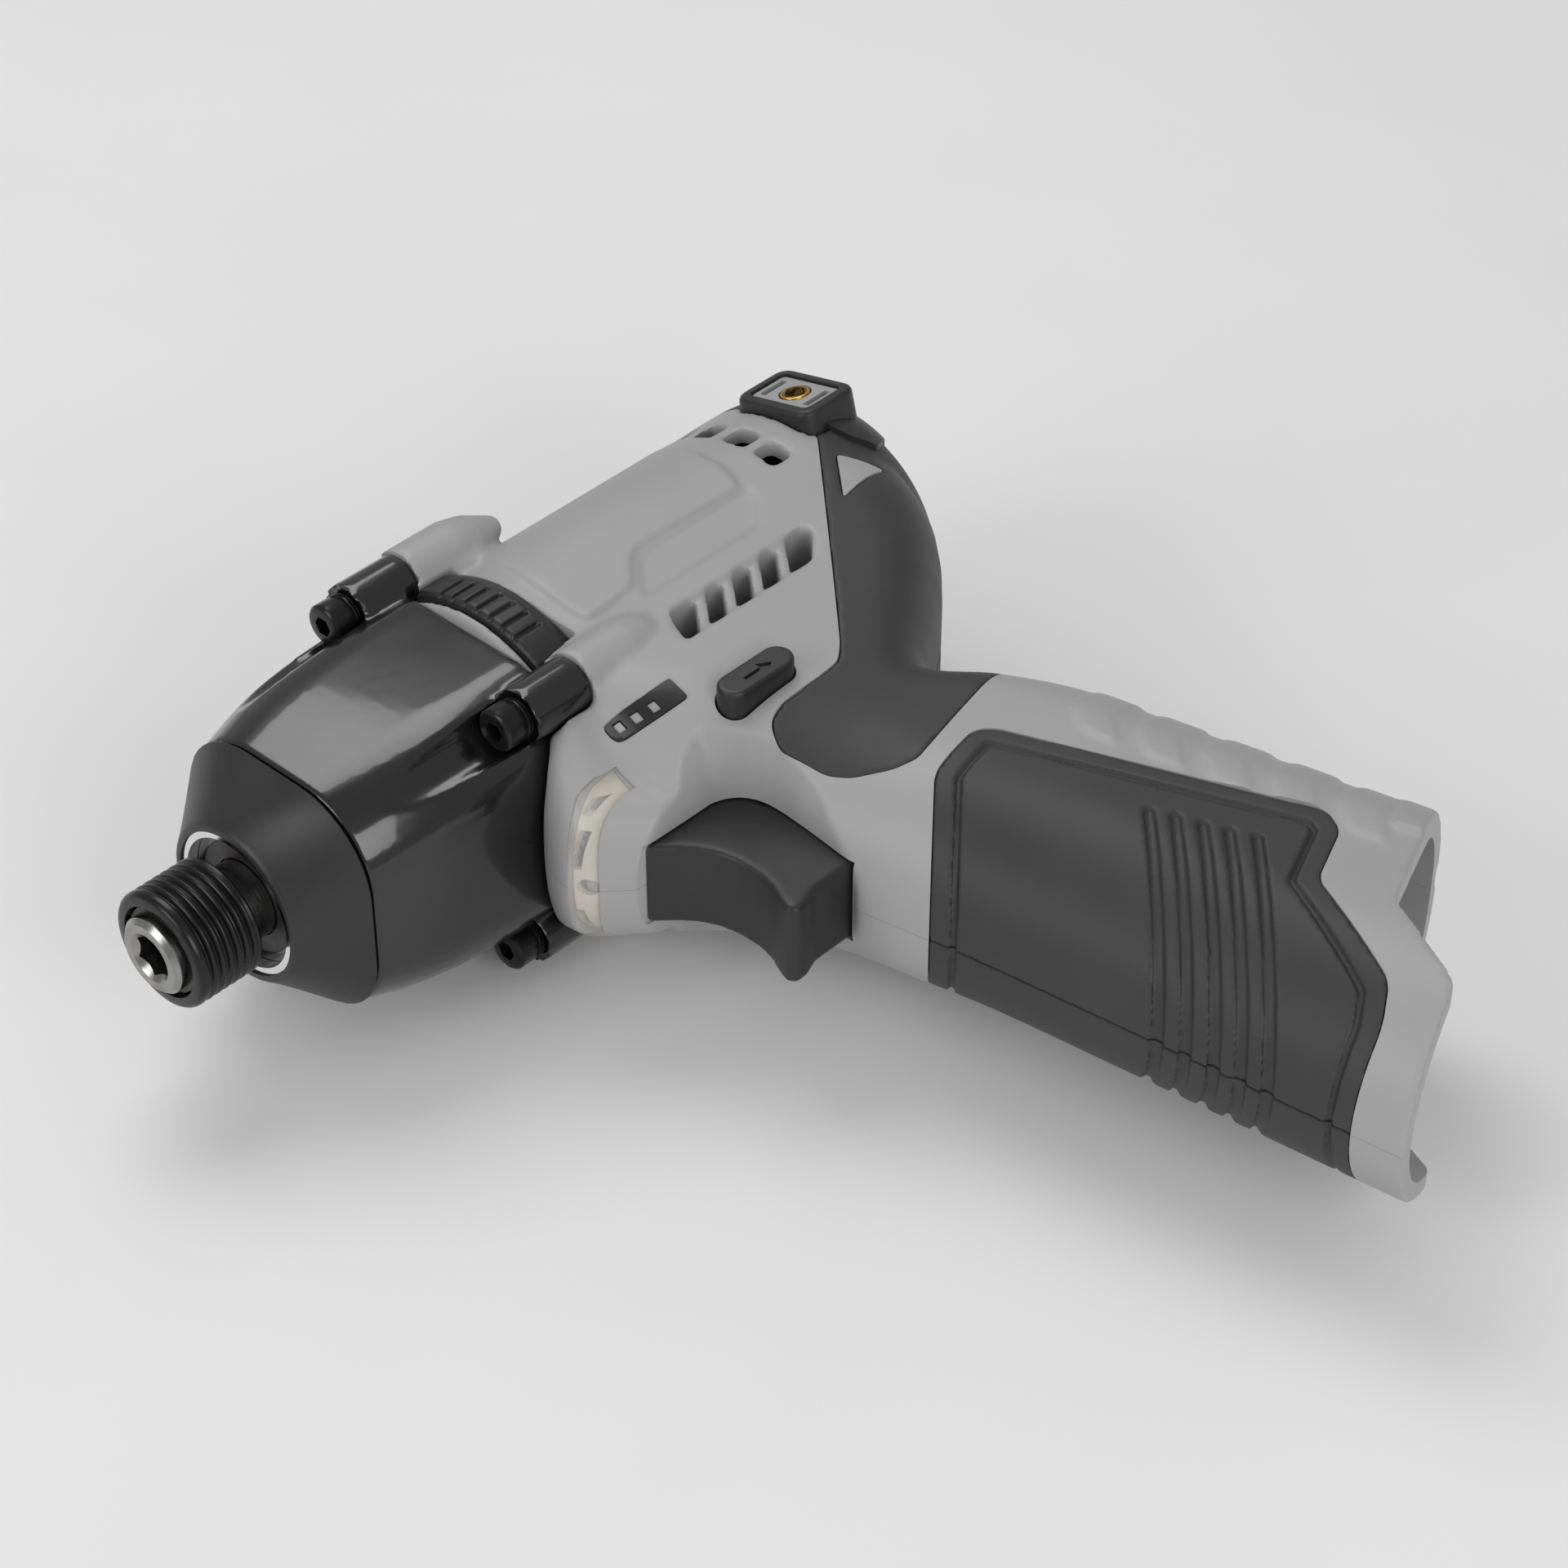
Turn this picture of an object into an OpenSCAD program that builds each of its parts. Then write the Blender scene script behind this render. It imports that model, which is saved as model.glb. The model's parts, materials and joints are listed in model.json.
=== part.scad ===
// Compact cordless impact driver, bare tool, lying on its right side.
// X runs forward along the spindle to the bit, Y runs down the grip, Z runs to the
// left side of the tool, which faces up. The origin is the middle of the anvil's front face.

/* [Anvil and bit collar] */
// Across flats of the bit socket
hex_af = 6.35; // [6.2:0.05:6.5]
// Depth of the bit socket
hex_depth = 26; // [22:1:28]
// Diameter of the anvil shank
anvil_d = 12.8; // [12.4:0.1:13.2]
// Diameter of the bit collar
collar_d = 19.6; // [18.8:0.1:20.4]
// Length of the bit collar
collar_len = 12; // [11.5:0.1:12.5]
// How far the collar's front edge stands behind the anvil face
collar_back = 1.8; // [1.4:0.1:2.2]
// Forward travel of the bit collar
collar_travel = 3.5; // [2.5:0.1:3.8]
// Diameter of the two detent balls
detent_d = 3.5; // [3.2:0.1:3.6]

/* [Nose and hammer case] */
// Distance of the nose ring behind the anvil face
nose_x = 17.4; // [17:0.1:18]
// Outer diameter of the bright nose ring
ring_d = 24.4; // [23.8:0.1:25]
// Width of the nose cap at its rear edge
cap_w = 40.6; // [40:0.2:41.4]
// Distance of the nose cap's rear edge behind the anvil face
cap_x = 26.7; // [26.2:0.1:27.2]
// Step from the motor barrel in to the hammer case
case_step = 1.9; // [1.4:0.1:2.4]
// Corner radius of the hammer case
case_r = 14; // [13:0.5:15]
// How far the hammer case reaches behind the resting hammer
case_over = 3.8; // [3.4:0.1:4.2]
// How far the case screws stand outside the motor barrel
lug_out = 3.2; // [2.8:0.1:3.6]
// Angle of the case screws from the tool's side
lug_turn = 41; // [39:0.5:43]
// Diameter of the screw lugs on the hammer case
lug_d = 9.2; // [8.8:0.1:9.6]
// Thread diameter of the case screws
lug_screw_d = 4; // [3.6:0.1:4.2]

/* [Impact mechanism] */
// Wall of the hammer case's spigot round the hammer
spigot_wall = 3.7; // [3.2:0.1:4.2]
// Air round the hammer
hammer_air = 1; // [0.8:0.1:1.2]
// Rearward recoil of the hammer
recoil = 7; // [6.6:0.1:7.2]
// Room between camshaft and hammer rim for the hammer spring
spring_room = 9; // [8.6:0.1:9.4]
// Diameter of the cam balls
cam_ball_d = 5; // [4.4:0.1:5.2]
// Wall of the gearbox cup round the ring gear
cup_wall = 2.3; // [2:0.1:2.6]
// Wall of the ring gear outside its pitch circle
ring_wall = 3.425; // [3:0.025:3.8]
// Teeth of the sun gear
sun_z = 9; // [9]
// Teeth of each planet gear
planet_z = 18; // [18]
// Number of planet gears
planet_n = 3; // [3]

/* [Motor] */
// Air room between the stator and the barrel's bore
stator_room = 3.3; // [2.8:0.1:3.8]
// Length of the stator core
stator_len = 22; // [20:0.5:22.5]
// Depth of the stator's ring and teeth
tooth_depth = 9; // [8.6:0.1:9.4]
// Air gap between rotor and stator
air_gap = 0.5; // [0.4:0.05:0.7]
// Diameter of the motor shaft
shaft_d = 5; // [4.6:0.1:5.2]
// Air room between the fan and the barrel's bore
fan_room = 2.8; // [2:0.1:3.6]
// Blades on the fan
fan_n = 12; // [8:1:14]

/* [Housing] */
// Diameter of the motor barrel
barrel_d = 51.2; // [50.8:0.1:51.8]
// Wall of the motor barrel
barrel_wall = 2.8; // [2.4:0.1:3.2]
// Depth of the rear end behind the rear bearing
rear_wall = 10.8; // [10:0.2:11.6]
// Thickness of the rubber covers
skin = 1.6; // [1.3:0.1:1.8]
// Gap round covers and inlays
fit_gap = 0.1; // [0.06:0.02:0.16]
// Half width of the grip at its end
grip_w = 21.2; // [20.8:0.1:21.8]
// Lean of the battery bay
bay_rake = 9; // [8.6:0.1:9.4]
// Length of the battery bay opening from front to back
bay_l = 41; // [40:0.2:41.6]
// Width of the battery bay opening
bay_w = 34; // [33:0.2:34.6]
// Diameter of the housing screws
house_screw_d = 3; // [2.8:0.1:3.2]

/* [Controls] */
// Trigger width
trigger_w = 17.5; // [17:0.1:18]
// Trigger travel
trigger_travel = 6.5; // [5:0.1:6.8]
// Length of the direction selector
selector_l = 17; // [16:0.2:17.6]
// Height of the direction selector
selector_h = 6; // [5.4:0.1:6.2]
// How far the selector stands out on the left
selector_out = 6.5; // [6:0.1:7]
// Bore of the belt clip insert
clip_bore = 3.3; // [3:0.1:3.6]
// Lean of the belt clip seat towards the top of the tool
clip_lean = 14; // [12:0.5:16]

/* [Fits] */
// Radial clearance of running shafts
run = 0.04; // [0.02:0.01:0.08]
// Clearance round sliding pieces
slide_gap = 0.3; // [0.25:0.01:0.4]

/* [Hidden] */
$fn = 64;

GREY = "darkgray";
DARK = "#303032";
GLOSS = "#161618";
STEEL = "silver";

// Sizes round the spindle, from the barrel inwards
barrel_r = barrel_d / 2;
bore_r = barrel_r - barrel_wall;
case_w = barrel_d - 2 * case_step;
lug_y = (barrel_r + lug_out) * sin(lug_turn);
lug_z = (barrel_r + lug_out) * cos(lug_turn);
anvil_r = anvil_d / 2;
bush_r = anvil_r + 3;
hex_r = hex_af / 2 / cos(30);
ham_r = bore_r - fit_gap - spigot_wall - hammer_air;
cam_r = ham_r - spring_room;
stator_r = bore_r - stator_room;
rotor_r = stator_r - tooth_depth - air_gap;
fan_r = bore_r - fan_room;
ring_z = sun_z + 2 * planet_z;
ring_or = bore_r - 2 * fit_gap - cup_wall;
ring_r = ring_or - ring_wall;
gear_m = 2 * ring_r / ring_z;
sun_r = gear_m * sun_z / 2;
planet_r = gear_m * planet_z / 2;
orbit_r = sun_r + planet_r;
pin_r = 2;
collar_in = collar_d / 2 - 2.1;
pad_end = lug_y - lug_d / 2 - slide_gap - 0.4;
front_brg_r = 8.5;
rear_brg_r = 6.5;
washer_r = anvil_r + 3.1;

// Stations along the spindle, counted from the anvil face
bush_x0 = -nose_x - 2.6;
bush_x1 = bush_x0 - 14;
wing_x0 = bush_x1 - 1.6;
wing_x1 = wing_x0 - 8;
ham_x0 = wing_x1 - 0.6;
ham_x1 = ham_x0 - 18;
ham_floor = ham_x0 - 6.4;
case_x = case_over - ham_x1;
lug_x = -case_x + 7.6;
carrier_x0 = ham_x1 - recoil - 0.5;
planet_x0 = carrier_x0 - 2.9;
planet_x1 = planet_x0 - 6;
carrier_x1 = planet_x1 - 2.6;
plate_x0 = carrier_x1 - 0.6;
bearing_x0 = plate_x0 - 1.4;
bearing_w = 5;
plate_x1 = bearing_x0 - bearing_w - 1;
hall_x = plate_x1 - 2;
coil_len = 4;
core_x0 = hall_x - 1.5 - 2.5 - coil_len;
core_x1 = core_x0 - stator_len;
fan_x0 = core_x1 - coil_len - 3.5;
fan_len = 9;
fan_x1 = fan_x0 - fan_len;
rear_brg_x0 = fan_x1 - 3;
rear_brg_x1 = rear_brg_x0 - 4.5;
rear_x = rear_wall - rear_brg_x1;

// Places on the side of the tool
sel_c = [-84.5, 43.5];
sel_z = barrel_r - 2.1;
side_z = barrel_r - 4;
chin_w = barrel_r - 2.6;
switch_x = -92.2;
trig_back = switch_x + trigger_travel + 0.7;
arch_y = 47.6;
horn_y = 67.2;
palm_w = 15.4;
screw_z = -11;
lens_w = 17;
screw_at = [[-70, 40], [-106, 34], [-87.6, 70.6], [-124, 75]];
clip_c = [-rear_x + 11.8, -4, barrel_r - 2];

// Shapes used again and again
module xcyl(x0, x1, r) { translate([min(x0, x1), 0, 0]) rotate([0, 90, 0]) cylinder(r = r, h = abs(x1 - x0)); }
module xtube(x0, x1, ro, ri) {
  difference() { xcyl(x0, x1, ro); translate([1, 0, 0]) xcyl(max(x0, x1), min(x0, x1) - 2, ri); }
}
module xrev(pts) { rotate([0, 90, 0]) rotate_extrude() polygon(pts); }
module ycyl(x, y, z, r, h) { translate([x, y, z]) rotate([-90, 0, 0]) cylinder(r = r, h = h); }
module zprism(z0, z1) { translate([0, 0, z0]) linear_extrude(z1 - z0) children(); }
module box(a, b) { translate(a) cube(b - a); }
module rrect(l, w, r) {
  square([l - 2 * r, w], center = true);
  square([l, w - 2 * r], center = true);
  for (x = [-1, 1], y = [-1, 1]) translate([x * (l / 2 - r), y * (w / 2 - r)]) circle(r);
}
module capsule(l, w) {
  square([l - w, w], center = true);
  for (x = [-1, 1]) translate([x * (l - w) / 2, 0]) circle(w / 2);
}
module both() { children(); mirror([0, 0, 1]) children(); }
module half(left) { translate([-400, -400, left ? 0 : -800]) cube([800, 800, 800]); }

// A wire coil as one unbroken six-sided tube round the spindle direction
function ring6(p, a, wr) = [for (k = [0:5]) let (u = wr * cos(60 * k), v = wr * sin(60 * k))
  [p[0] + v, p[1] + u * cos(a), p[2] + u * sin(a)]];
module coil(x0, x1, r, wr, turns, n = 10) {
  steps = round(turns * n);
  run_x = x1 - x0;
  pts = [for (i = [0:steps]) let (a = 360 * turns * i / steps)
    each ring6([x0 + run_x * i / steps, r * cos(a), r * sin(a)], a, wr)];
  last = 6 * steps;
  faces = concat(
    [[0, 1, 2], [0, 2, 3], [0, 3, 4], [0, 4, 5]],
    [for (i = [0:steps - 1], k = [0:5]) let (a = 6 * i + k, b = 6 * i + (k + 1) % 6) each [[a, a + 6, b], [b, a + 6, b + 6]]],
    [for (k = [1:4]) [last, last + k + 1, last + k]]);
  polyhedron(pts, run_x > 0 ? [for (f = faces) [f[2], f[1], f[0]]] : faces);
}

// Straight-flanked teeth, with a tooth on the zero direction
function gear_pts(z, rr, ra, wr, wa) = let (p = 360 / z)
  [for (i = [0:z - 1], q = [[-wr, rr], [-wa, ra], [wa, ra], [wr, rr]]) let (a = i * p + q[0] * p) [q[1] * cos(a), q[1] * sin(a)]];
module spur(z) {
  r = gear_m * z / 2;
  polygon(gear_pts(z, r - 1.15 * gear_m, r + 0.8 * gear_m, 0.3, 0.12));
}
module ring_bore(z) {
  r = gear_m * z / 2;
  rotate(180 / z) polygon(gear_pts(z, r - 0.8 * gear_m, r + 1.15 * gear_m, 0.37, 0.17));
}
module xflat(x0, x1) { translate([min(x0, x1), 0, 0]) rotate([90, 0, 90]) linear_extrude(abs(x1 - x0)) children(); }

// Outer form of the body: barrel, web and grip, each drawn in by an inset
module barrel(i = 0) {
  dome = 16;
  flat = 9;
  xrev(concat([[0, -case_x], [barrel_r - i, -case_x]],
    [for (t = [0:15:90]) [flat + (barrel_r - i - flat) * cos(t), -rear_x + dome - (dome - i) * sin(t)]],
    [[0, -rear_x + i]]));
}
module slab(y, xf, xb, w, rf, rb, i) {
  for (s = [-1, 1]) {
    ycyl(xf - rf, y, s * (w - rf), max(rf - i, 0.4), 0.1, $fn = 32);
    ycyl(xb + rb, y, s * (w - rb), rb - i, 0.1, $fn = 32);
  }
}
module web(i = 0) {
  hull() {
    slab(2 + i, -case_x, -rear_x, barrel_r - 0.4, 4, 17, i);
    slab(16, -case_x, -rear_x + 5.5, barrel_r - 0.6, 4, 17, i);
    slab(26, -case_x, -rear_x + 11, barrel_r - 1.1, 4, 16, i);
    slab(36, -case_x, -rear_x + 21, barrel_r - 2, 4, 15, i);
    slab(44, -case_x - 1.5, -rear_x + 32.5, barrel_r - 3.4, 5, 13, i);
    slab(51, -case_x - 7, -rear_x + 40.6, barrel_r - 4.8, 9, 11, i);
  }
}
module grip(i = 0) {
  hull() {
    slab(50, -76.4, -115, grip_w - 1, 13, 11, i);
    slab(60, -77.6, -123.5, grip_w - 1, 16, 12.5, i);
    slab(72, -79.4, -131, grip_w - 0.9, 19, 15, i);
    slab(90, -82.2, -136, grip_w - 0.7, 20, 17, i);
    slab(163, -92.2, -152, grip_w, 20.7, 18.5, i);
  }
}
module chin(i = 0) {
  hull() {
    slab(24, -57, -86, chin_w + 0.5, 14, 8, i);
    slab(29, -54.2, -86, chin_w + 0.3, 14.5, 8, i);
    slab(34, -52.7, -86, chin_w - 0.7, 14.5, 8, i);
    slab(38, -56, -86, chin_w - 3.4, 13.5, 8, i);
    slab(41.4, -59.6, -86, chin_w - 5.4, 12.5, 8, i);
  }
}
module rim_cut() {
  zprism(-60, 60) polygon([[-170, 119], [-139, 129], [-130, 133], [-115, 138.6], [-107.5, 154.6], [-91, 159.8],
    [-60, 166], [-60, 200], [-170, 200]]);
}
module grip_zone(g = 0) {
  zprism(-60, 60) polygon([[-93 - g, 71 - g], [-104 + g, 69 - g], [-106.5 - g, 71], [-124.5 - g, 119.5], [-122.5 - g, 122.5 + g],
    [-112 - g, 127.5 + g], [-101.5 - g, 147 + g], [-86, 152 + g], [-60, 156 + g], [-60, 84 - g], [-77, 84 - g]]);
}
module rear_zone(g = 0) {
  zprism(-60, 60) polygon([[-rear_x - 14, -40], [-rear_x + 17 + g, -40], [-rear_x + 17 + g, 5], [-101.5 + g, 44.6 - g], [-86 + g, 45.2 - g],
    [-81.5 + g, 48.5], [-79.8 + g, 54], [-80.4 + g, 62], [-85 + g, 66.4 + g], [-92, 68 + g], [-108, 65 + g],
    [-117, 61.5 + g], [-130, 59.5 + g], [-rear_x - 14, 58]]);
  // Strip down the palm side of the grip
  zprism(-palm_w - g, palm_w + g) polygon([[-170, 50], [-105 + g, 50], [-105 + g, 124 + g], [-136, 124 + g], [-170, 116 + g]]);
}
module body_form(i = 0) { barrel(i); web(i); grip(i); }
// Small triangle of the housing that shows through the rear cover on each side
module rear_mark(g = 0) {
  both() zprism(8, 60)
    polygon([[-rear_x + 18.4, 10.6 - 2 * g], [-rear_x + 14 - 2 * g, 16.8 + g], [-rear_x + 26.2 + 2 * g, 19.2 + g]]);
}
module covers_recess() {
  difference() {
    intersection() {
      union() { grip_zone(fit_gap); rear_zone(fit_gap); }
      difference() { box([-rear_x - 20, -45, -60], [-case_x + 6, 175, 60]); body_form(skin); }
    }
    rear_mark();
  }
}
module lens_band(g = 0) { box([-62 - g, 33.8 - g, -lens_w - g], [-45, 37.8 + g, lens_w + g]); }
module arch() {
  zprism(-60, 60) polygon([[-30, 38], [-56, 40.6], [-59.2, 41.6], [-61.4, 42.7], [-64.3, 44.6], [-69.6, 46.2], [-72.5, 46.9],
    [-74.8, 48.6], [-76.2, 51], [-76.6, 54], [-77.6, 58.7], [-78.8, 63.5], [-79.6, horn_y], [-30, horn_y + 30]]);
}
module lugs(r, x0, x1) { for (y = [-1, 1], z = [-1, 1]) translate([0, y * lug_y, z * lug_z]) xcyl(x0, x1, r); }
module pad_form(g = 0) {
  difference() {
    intersection() {
      xcyl(-case_x - 1.6 + g, -case_x - 10.6 - g, barrel_r + 0.8);
      box([-case_x - 34, -pad_end - g, 5], [-case_x + 16, pad_end + g, barrel_r + 14]);
    }
    xcyl(-case_x + 26, -case_x - 34, barrel_r - 1.4 - g);
  }
}
module vents() {
  // Slanted side louvres
  difference() {
    zprism(barrel_r - 10.6, barrel_r + 14) polygon([[-86.6, 26.4], [-89.3, 19.8], [-120, 19.6], [-119.8, 21.6], [-114.6, 26.4]]);
    for (k = [0:3]) zprism(barrel_r - 15, barrel_r + 15) polygon([[-88.8 - 6 * k, 27.4], [-91.2 - 6 * k, 27.4], [-98.4 - 6 * k, 18.8], [-96 - 6 * k, 18.8]]);
  }
  // Outlet slots round the fan
  for (q = [[-18.6, -14.6], [-12.6, -8.4], [-6.2, -1.4], [0.6, 5.4]]) box([-rear_x + 23.2, q[0], 12], [-rear_x + 27.8, q[1], barrel_r + 14]);
}
module bay() {
  translate([-109.6, 86, 0]) rotate([0, 0, bay_rake]) rotate([-90, 0, 0]) linear_extrude(100) rrect(bay_l, bay_w, 9);
}
module clip_seat(g = 0) {
  translate(clip_c) rotate([clip_lean, 0, 0]) zprism(-6 - g, 12) rrect(12.4 + 2 * g, 17 + 2 * g, 2.6 + g);
}
module trigger_room() {
  hz = trigger_w / 2 + slide_gap;
  box([-92, arch_y, -hz], [-60, horn_y, hz]);
  box([-74.4, 42.4, -hz], [-58, arch_y + 0.1, hz]);
}
module selector_slot() {
  translate([sel_c[0], sel_c[1], 0]) zprism(-60, 60) capsule(selector_l + 2 * slide_gap, selector_h + 2 * slide_gap);
}
module cavity() {
  // Motor and gearbox bore, with two seats for the stator
  xcyl(-case_x + 1, core_x0 - 3, bore_r);
  xcyl(core_x0 - 3, core_x1 + 3, stator_r + fit_gap);
  xtube(core_x0 - 7, core_x1 + 7, bore_r, stator_r - 2);
  xcyl(core_x1 + 3, rear_brg_x0, bore_r);
  xcyl(rear_brg_x0 + 1, rear_brg_x1, rear_brg_r + 0.02);
  xcyl(rear_brg_x1 + 1, rear_brg_x1 - 1.5, shaft_d / 2 + 0.8);
  both() box([-120.5, 12, barrel_r - 16.6], [-88, 27, barrel_r - 3.6]);
  // Trigger, switch and controller rooms
  trigger_room();
  box([-112, arch_y + 0.4, -12.1], [switch_x + 0.3, horn_y, 12.1]);
  box([-113, horn_y - 0.1, -13.1], [-91, 88, 13.1]);
  // Lead passage from the motor
  box([-99.2, 18, -7], [-93.2, arch_y + 1, 7]);
  // Work light and gauge rooms
  intersection() { chin(2.4); box([-66, 32.9, -chin_w - 1], [-40, 38.3, chin_w + 1]); }
  box([-77, 29.9, side_z - 3.7], [-65, 35.4, side_z + 8.4]);
  selector_slot();
  bay();
}
module gauge_form(g = 0) {
  zprism(side_z - g, side_z + 20) polygon([[-64 + g, 30 - g], [-79.6 - g, 30 - g], [-78.4 - g, 33.6], [-75.8, 35.8 + g], [-65 + g, 35.8 + g], [-63 + g, 33.4]]);
}
module shell() {
  difference() {
    union() {
      body_form();
      difference() { chin(); xflat(-case_x, -30) rrect(case_w + 0.6, case_w + 0.6, case_r); }
      intersection() {
        union() { lugs(5, -case_x - 6, -case_x - 19); lugs(3.6, -case_x - 6, -case_x - 22); }
        box([-case_x - 34, -lug_y - 20, -lug_z - 20], [-case_x + 6, lug_y + 20, lug_z + 20]);
      }
      both() intersection() {
        union() { xcyl(-60, -rear_x + 16, barrel_r + 0.8); box([-rear_x + 16, 2, 0], [-60, 20, barrel_r + 0.5]); }
        zprism(10, barrel_r + 14) polygon([[-80.6, -14.4], [-122.6, -14.4], [-120.9, 3.4], [-119.6, 5.8], [-98, 5.2], [-94.8, 6.2], [-89.4, 11.8], [-78.6, 12.8]]);
      }
    }
    cavity();
    covers_recess();
    arch();
    rim_cut();
    both() { vents(); pad_form(fit_gap); clip_seat(fit_gap); }
    lugs(lug_d / 2 + slide_gap, -case_x + 5, -case_x - 6);
    lugs(lug_screw_d / 2, -case_x, -case_x - 14);
    intersection() { lens_band(fit_gap); difference() { box([-63.6, 30, -40], [-40, 50, 40]); chin(2.4); } }
    gauge_form(fit_gap);
    for (p = screw_at) translate([p[0], p[1], 0]) {
      zprism(-40, 12) circle(house_screw_d / 2);
      zprism(-40, screw_z) circle(house_screw_d + 0.2);
    }
  }
}
module housing_left() { color(GREY) intersection() { shell(); half(true); } }
module housing_right() { color(GREY) intersection() { shell(); half(false); } }
module cover(left) {
  intersection() {
    difference() { body_form(); body_form(skin - fit_gap); }
    children();
    half(left);
  }
}
module grip_cover(left) { difference() { cover(left) grip_zone(); rim_cut(); arch(); } }
module rear_cover(left) {
  difference() { cover(left) rear_zone(); arch(); trigger_room(); selector_slot(); rear_mark(fit_gap); both() clip_seat(fit_gap); }
}
module grip_cover_left() { color(DARK) grip_cover(true); }
module grip_cover_right() { color(DARK) grip_cover(false); }
module rear_cover_left() { color(DARK) rear_cover(true); }
module rear_cover_right() { color(DARK) rear_cover(false); }

module side_pads() {
  color(DARK) both() difference() {
    pad_form();
    for (k = [0:6]) rotate([-26 + 6.2 * k, 0, 0])
      box([-case_x - 24, -0.5, barrel_r - 0.2], [-case_x + 6, 0.5, barrel_r + 3]);
  }
}

// Hammer case with its screw lugs, bush seat and hammer bore
module case_slab(x, h, r) {
  for (y = [-1, 1], z = [-1, 1]) translate([0, y * (h - r), z * (h - r)]) xcyl(x, x - 0.1, r, $fn = 32);
}
module hammer_case() {
  color(GLOSS) difference() {
    union() {
      hull() {
        case_slab(-cap_x, cap_w / 2 - 0.3, case_r);
        case_slab(-case_x + 26, case_w / 2 - 1.3, case_r);
        case_slab(-case_x + 12, case_w / 2 - 0.2, case_r);
        case_slab(-case_x + 0.2, case_w / 2, case_r);
      }
      xrev([[0, -nose_x - 1.6], [ring_d / 2 - 0.6, -nose_x - 1.6], [cap_w / 2 - 2.4, -cap_x], [cap_w / 2 - 2.4, -cap_x - 1], [0, -cap_x - 1]]);
      lugs(lug_d / 2, lug_x, -case_x - 5.8);
      xtube(-case_x + 1, -case_x - 4, bore_r - fit_gap, ham_r + 1);
    }
    xcyl(-10, wing_x0, bush_r);
    xcyl(wing_x0 + 1, -case_x - 5, ham_r + 0.8);
    xcyl(-10, bush_x0 + 0.01, washer_r + 0.1);
    lugs(lug_screw_d / 2 + 0.2, lug_x + 8, -case_x - 34);
    lugs(lug_d / 2 - 0.4, lug_x + 28, lug_x);
  }
}
module nose_cap() {
  color(DARK) difference() {
    hull() {
      xcyl(-nose_x + 0.9, -nose_x - 1, ring_d / 2 + 1.2, $fn = 48);
      xcyl(-nose_x - 1, -nose_x - 1.6, ring_d / 2 + 2.6, $fn = 48);
      case_slab(-cap_x + 0.4, cap_w / 2, case_r);
    }
    xrev([[0, -nose_x - 1.6 + fit_gap], [ring_d / 2 - 0.6 + fit_gap, -nose_x - 1.6 + fit_gap], [cap_w / 2 - 2.4 + fit_gap, -cap_x + fit_gap], [cap_w / 2 - 2.4 + fit_gap, -cap_x - 5], [0, -cap_x - 5]]);
    xcyl(0, -30, ring_d / 2 - 2.5);
    xcyl(0, -nose_x - 1.6, ring_d / 2 + fit_gap);
  }
}
module nose_ring() {
  color("gainsboro") xtube(-nose_x + 0.5, -nose_x - 1.6 + fit_gap, ring_d / 2, ring_d / 2 - 1.1);
}
module nose_washer() {
  color("dimgray") xtube(-nose_x - 1.6, bush_x0 + 0.05, washer_r, anvil_r + 0.25);
}
module anvil_bush() { color("goldenrod") xtube(bush_x0, bush_x1, bush_r, anvil_r + run); }

module case_screws() {
  color(GLOSS) for (y = [-1, 1], z = [-1, 1]) translate([0, y * lug_y, z * lug_z]) difference() {
    union() { xcyl(lug_x + 5.2, lug_x + 1.2, 3.5); xcyl(lug_x + 1.4, -case_x - 13, lug_screw_d / 2 - 0.02); }
    xflat(lug_x + 18, lug_x + 3) circle(r = 1.73, $fn = 6);
  }
}
module spring_washers() {
  color("black") for (y = [-1, 1], z = [-1, 1]) translate([0, y * lug_y, z * lug_z])
    xtube(lug_x + 1.15, lug_x + 0.05, 3.4, lug_screw_d / 2 + 0.1);
}
module housing_screws() {
  color("black") for (p = screw_at) translate([p[0], p[1], 0]) difference() {
    union() { zprism(screw_z, 11.5) circle(house_screw_d / 2 - 0.02); zprism(screw_z - 3, screw_z) circle(house_screw_d); }
    translate([0, 0, screw_z - 3.1]) for (a = [0, 90]) rotate(a) zprism(0, 1.6) square([3.4, 0.8], center = true);
  }
}

// Belt clip seat: frame, plate and threaded insert on each side at the rear
module clip_local() { both() translate(clip_c) rotate([clip_lean, 0, 0]) children(); }
module clip_frames() {
  color(DARK) clip_local() difference() {
    zprism(-6, 3.4) rrect(12.4, 17, 2.6);
    zprism(1.4, 10) rrect(8.6, 13.4, 1.2);
    zprism(-6.5, 10) circle(2.6);
  }
}
module clip_plates() {
  color(GREY) clip_local() difference() {
    zprism(1.4, 3) rrect(8.6 - 2 * fit_gap, 13.4 - 2 * fit_gap, 1.2 - fit_gap);
    zprism(0, 9) circle(2.6 + fit_gap);
    for (s = [-1, 1]) translate([0, s * 4.9, 0]) zprism(2, 9) square([5.4, 1.3], center = true);
  }
}
module clip_inserts() {
  color("goldenrod") clip_local() difference() { zprism(-5.8, 3.2) circle(2.55); zprism(-6.5, 9) circle(clip_bore / 2); }
}

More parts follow.
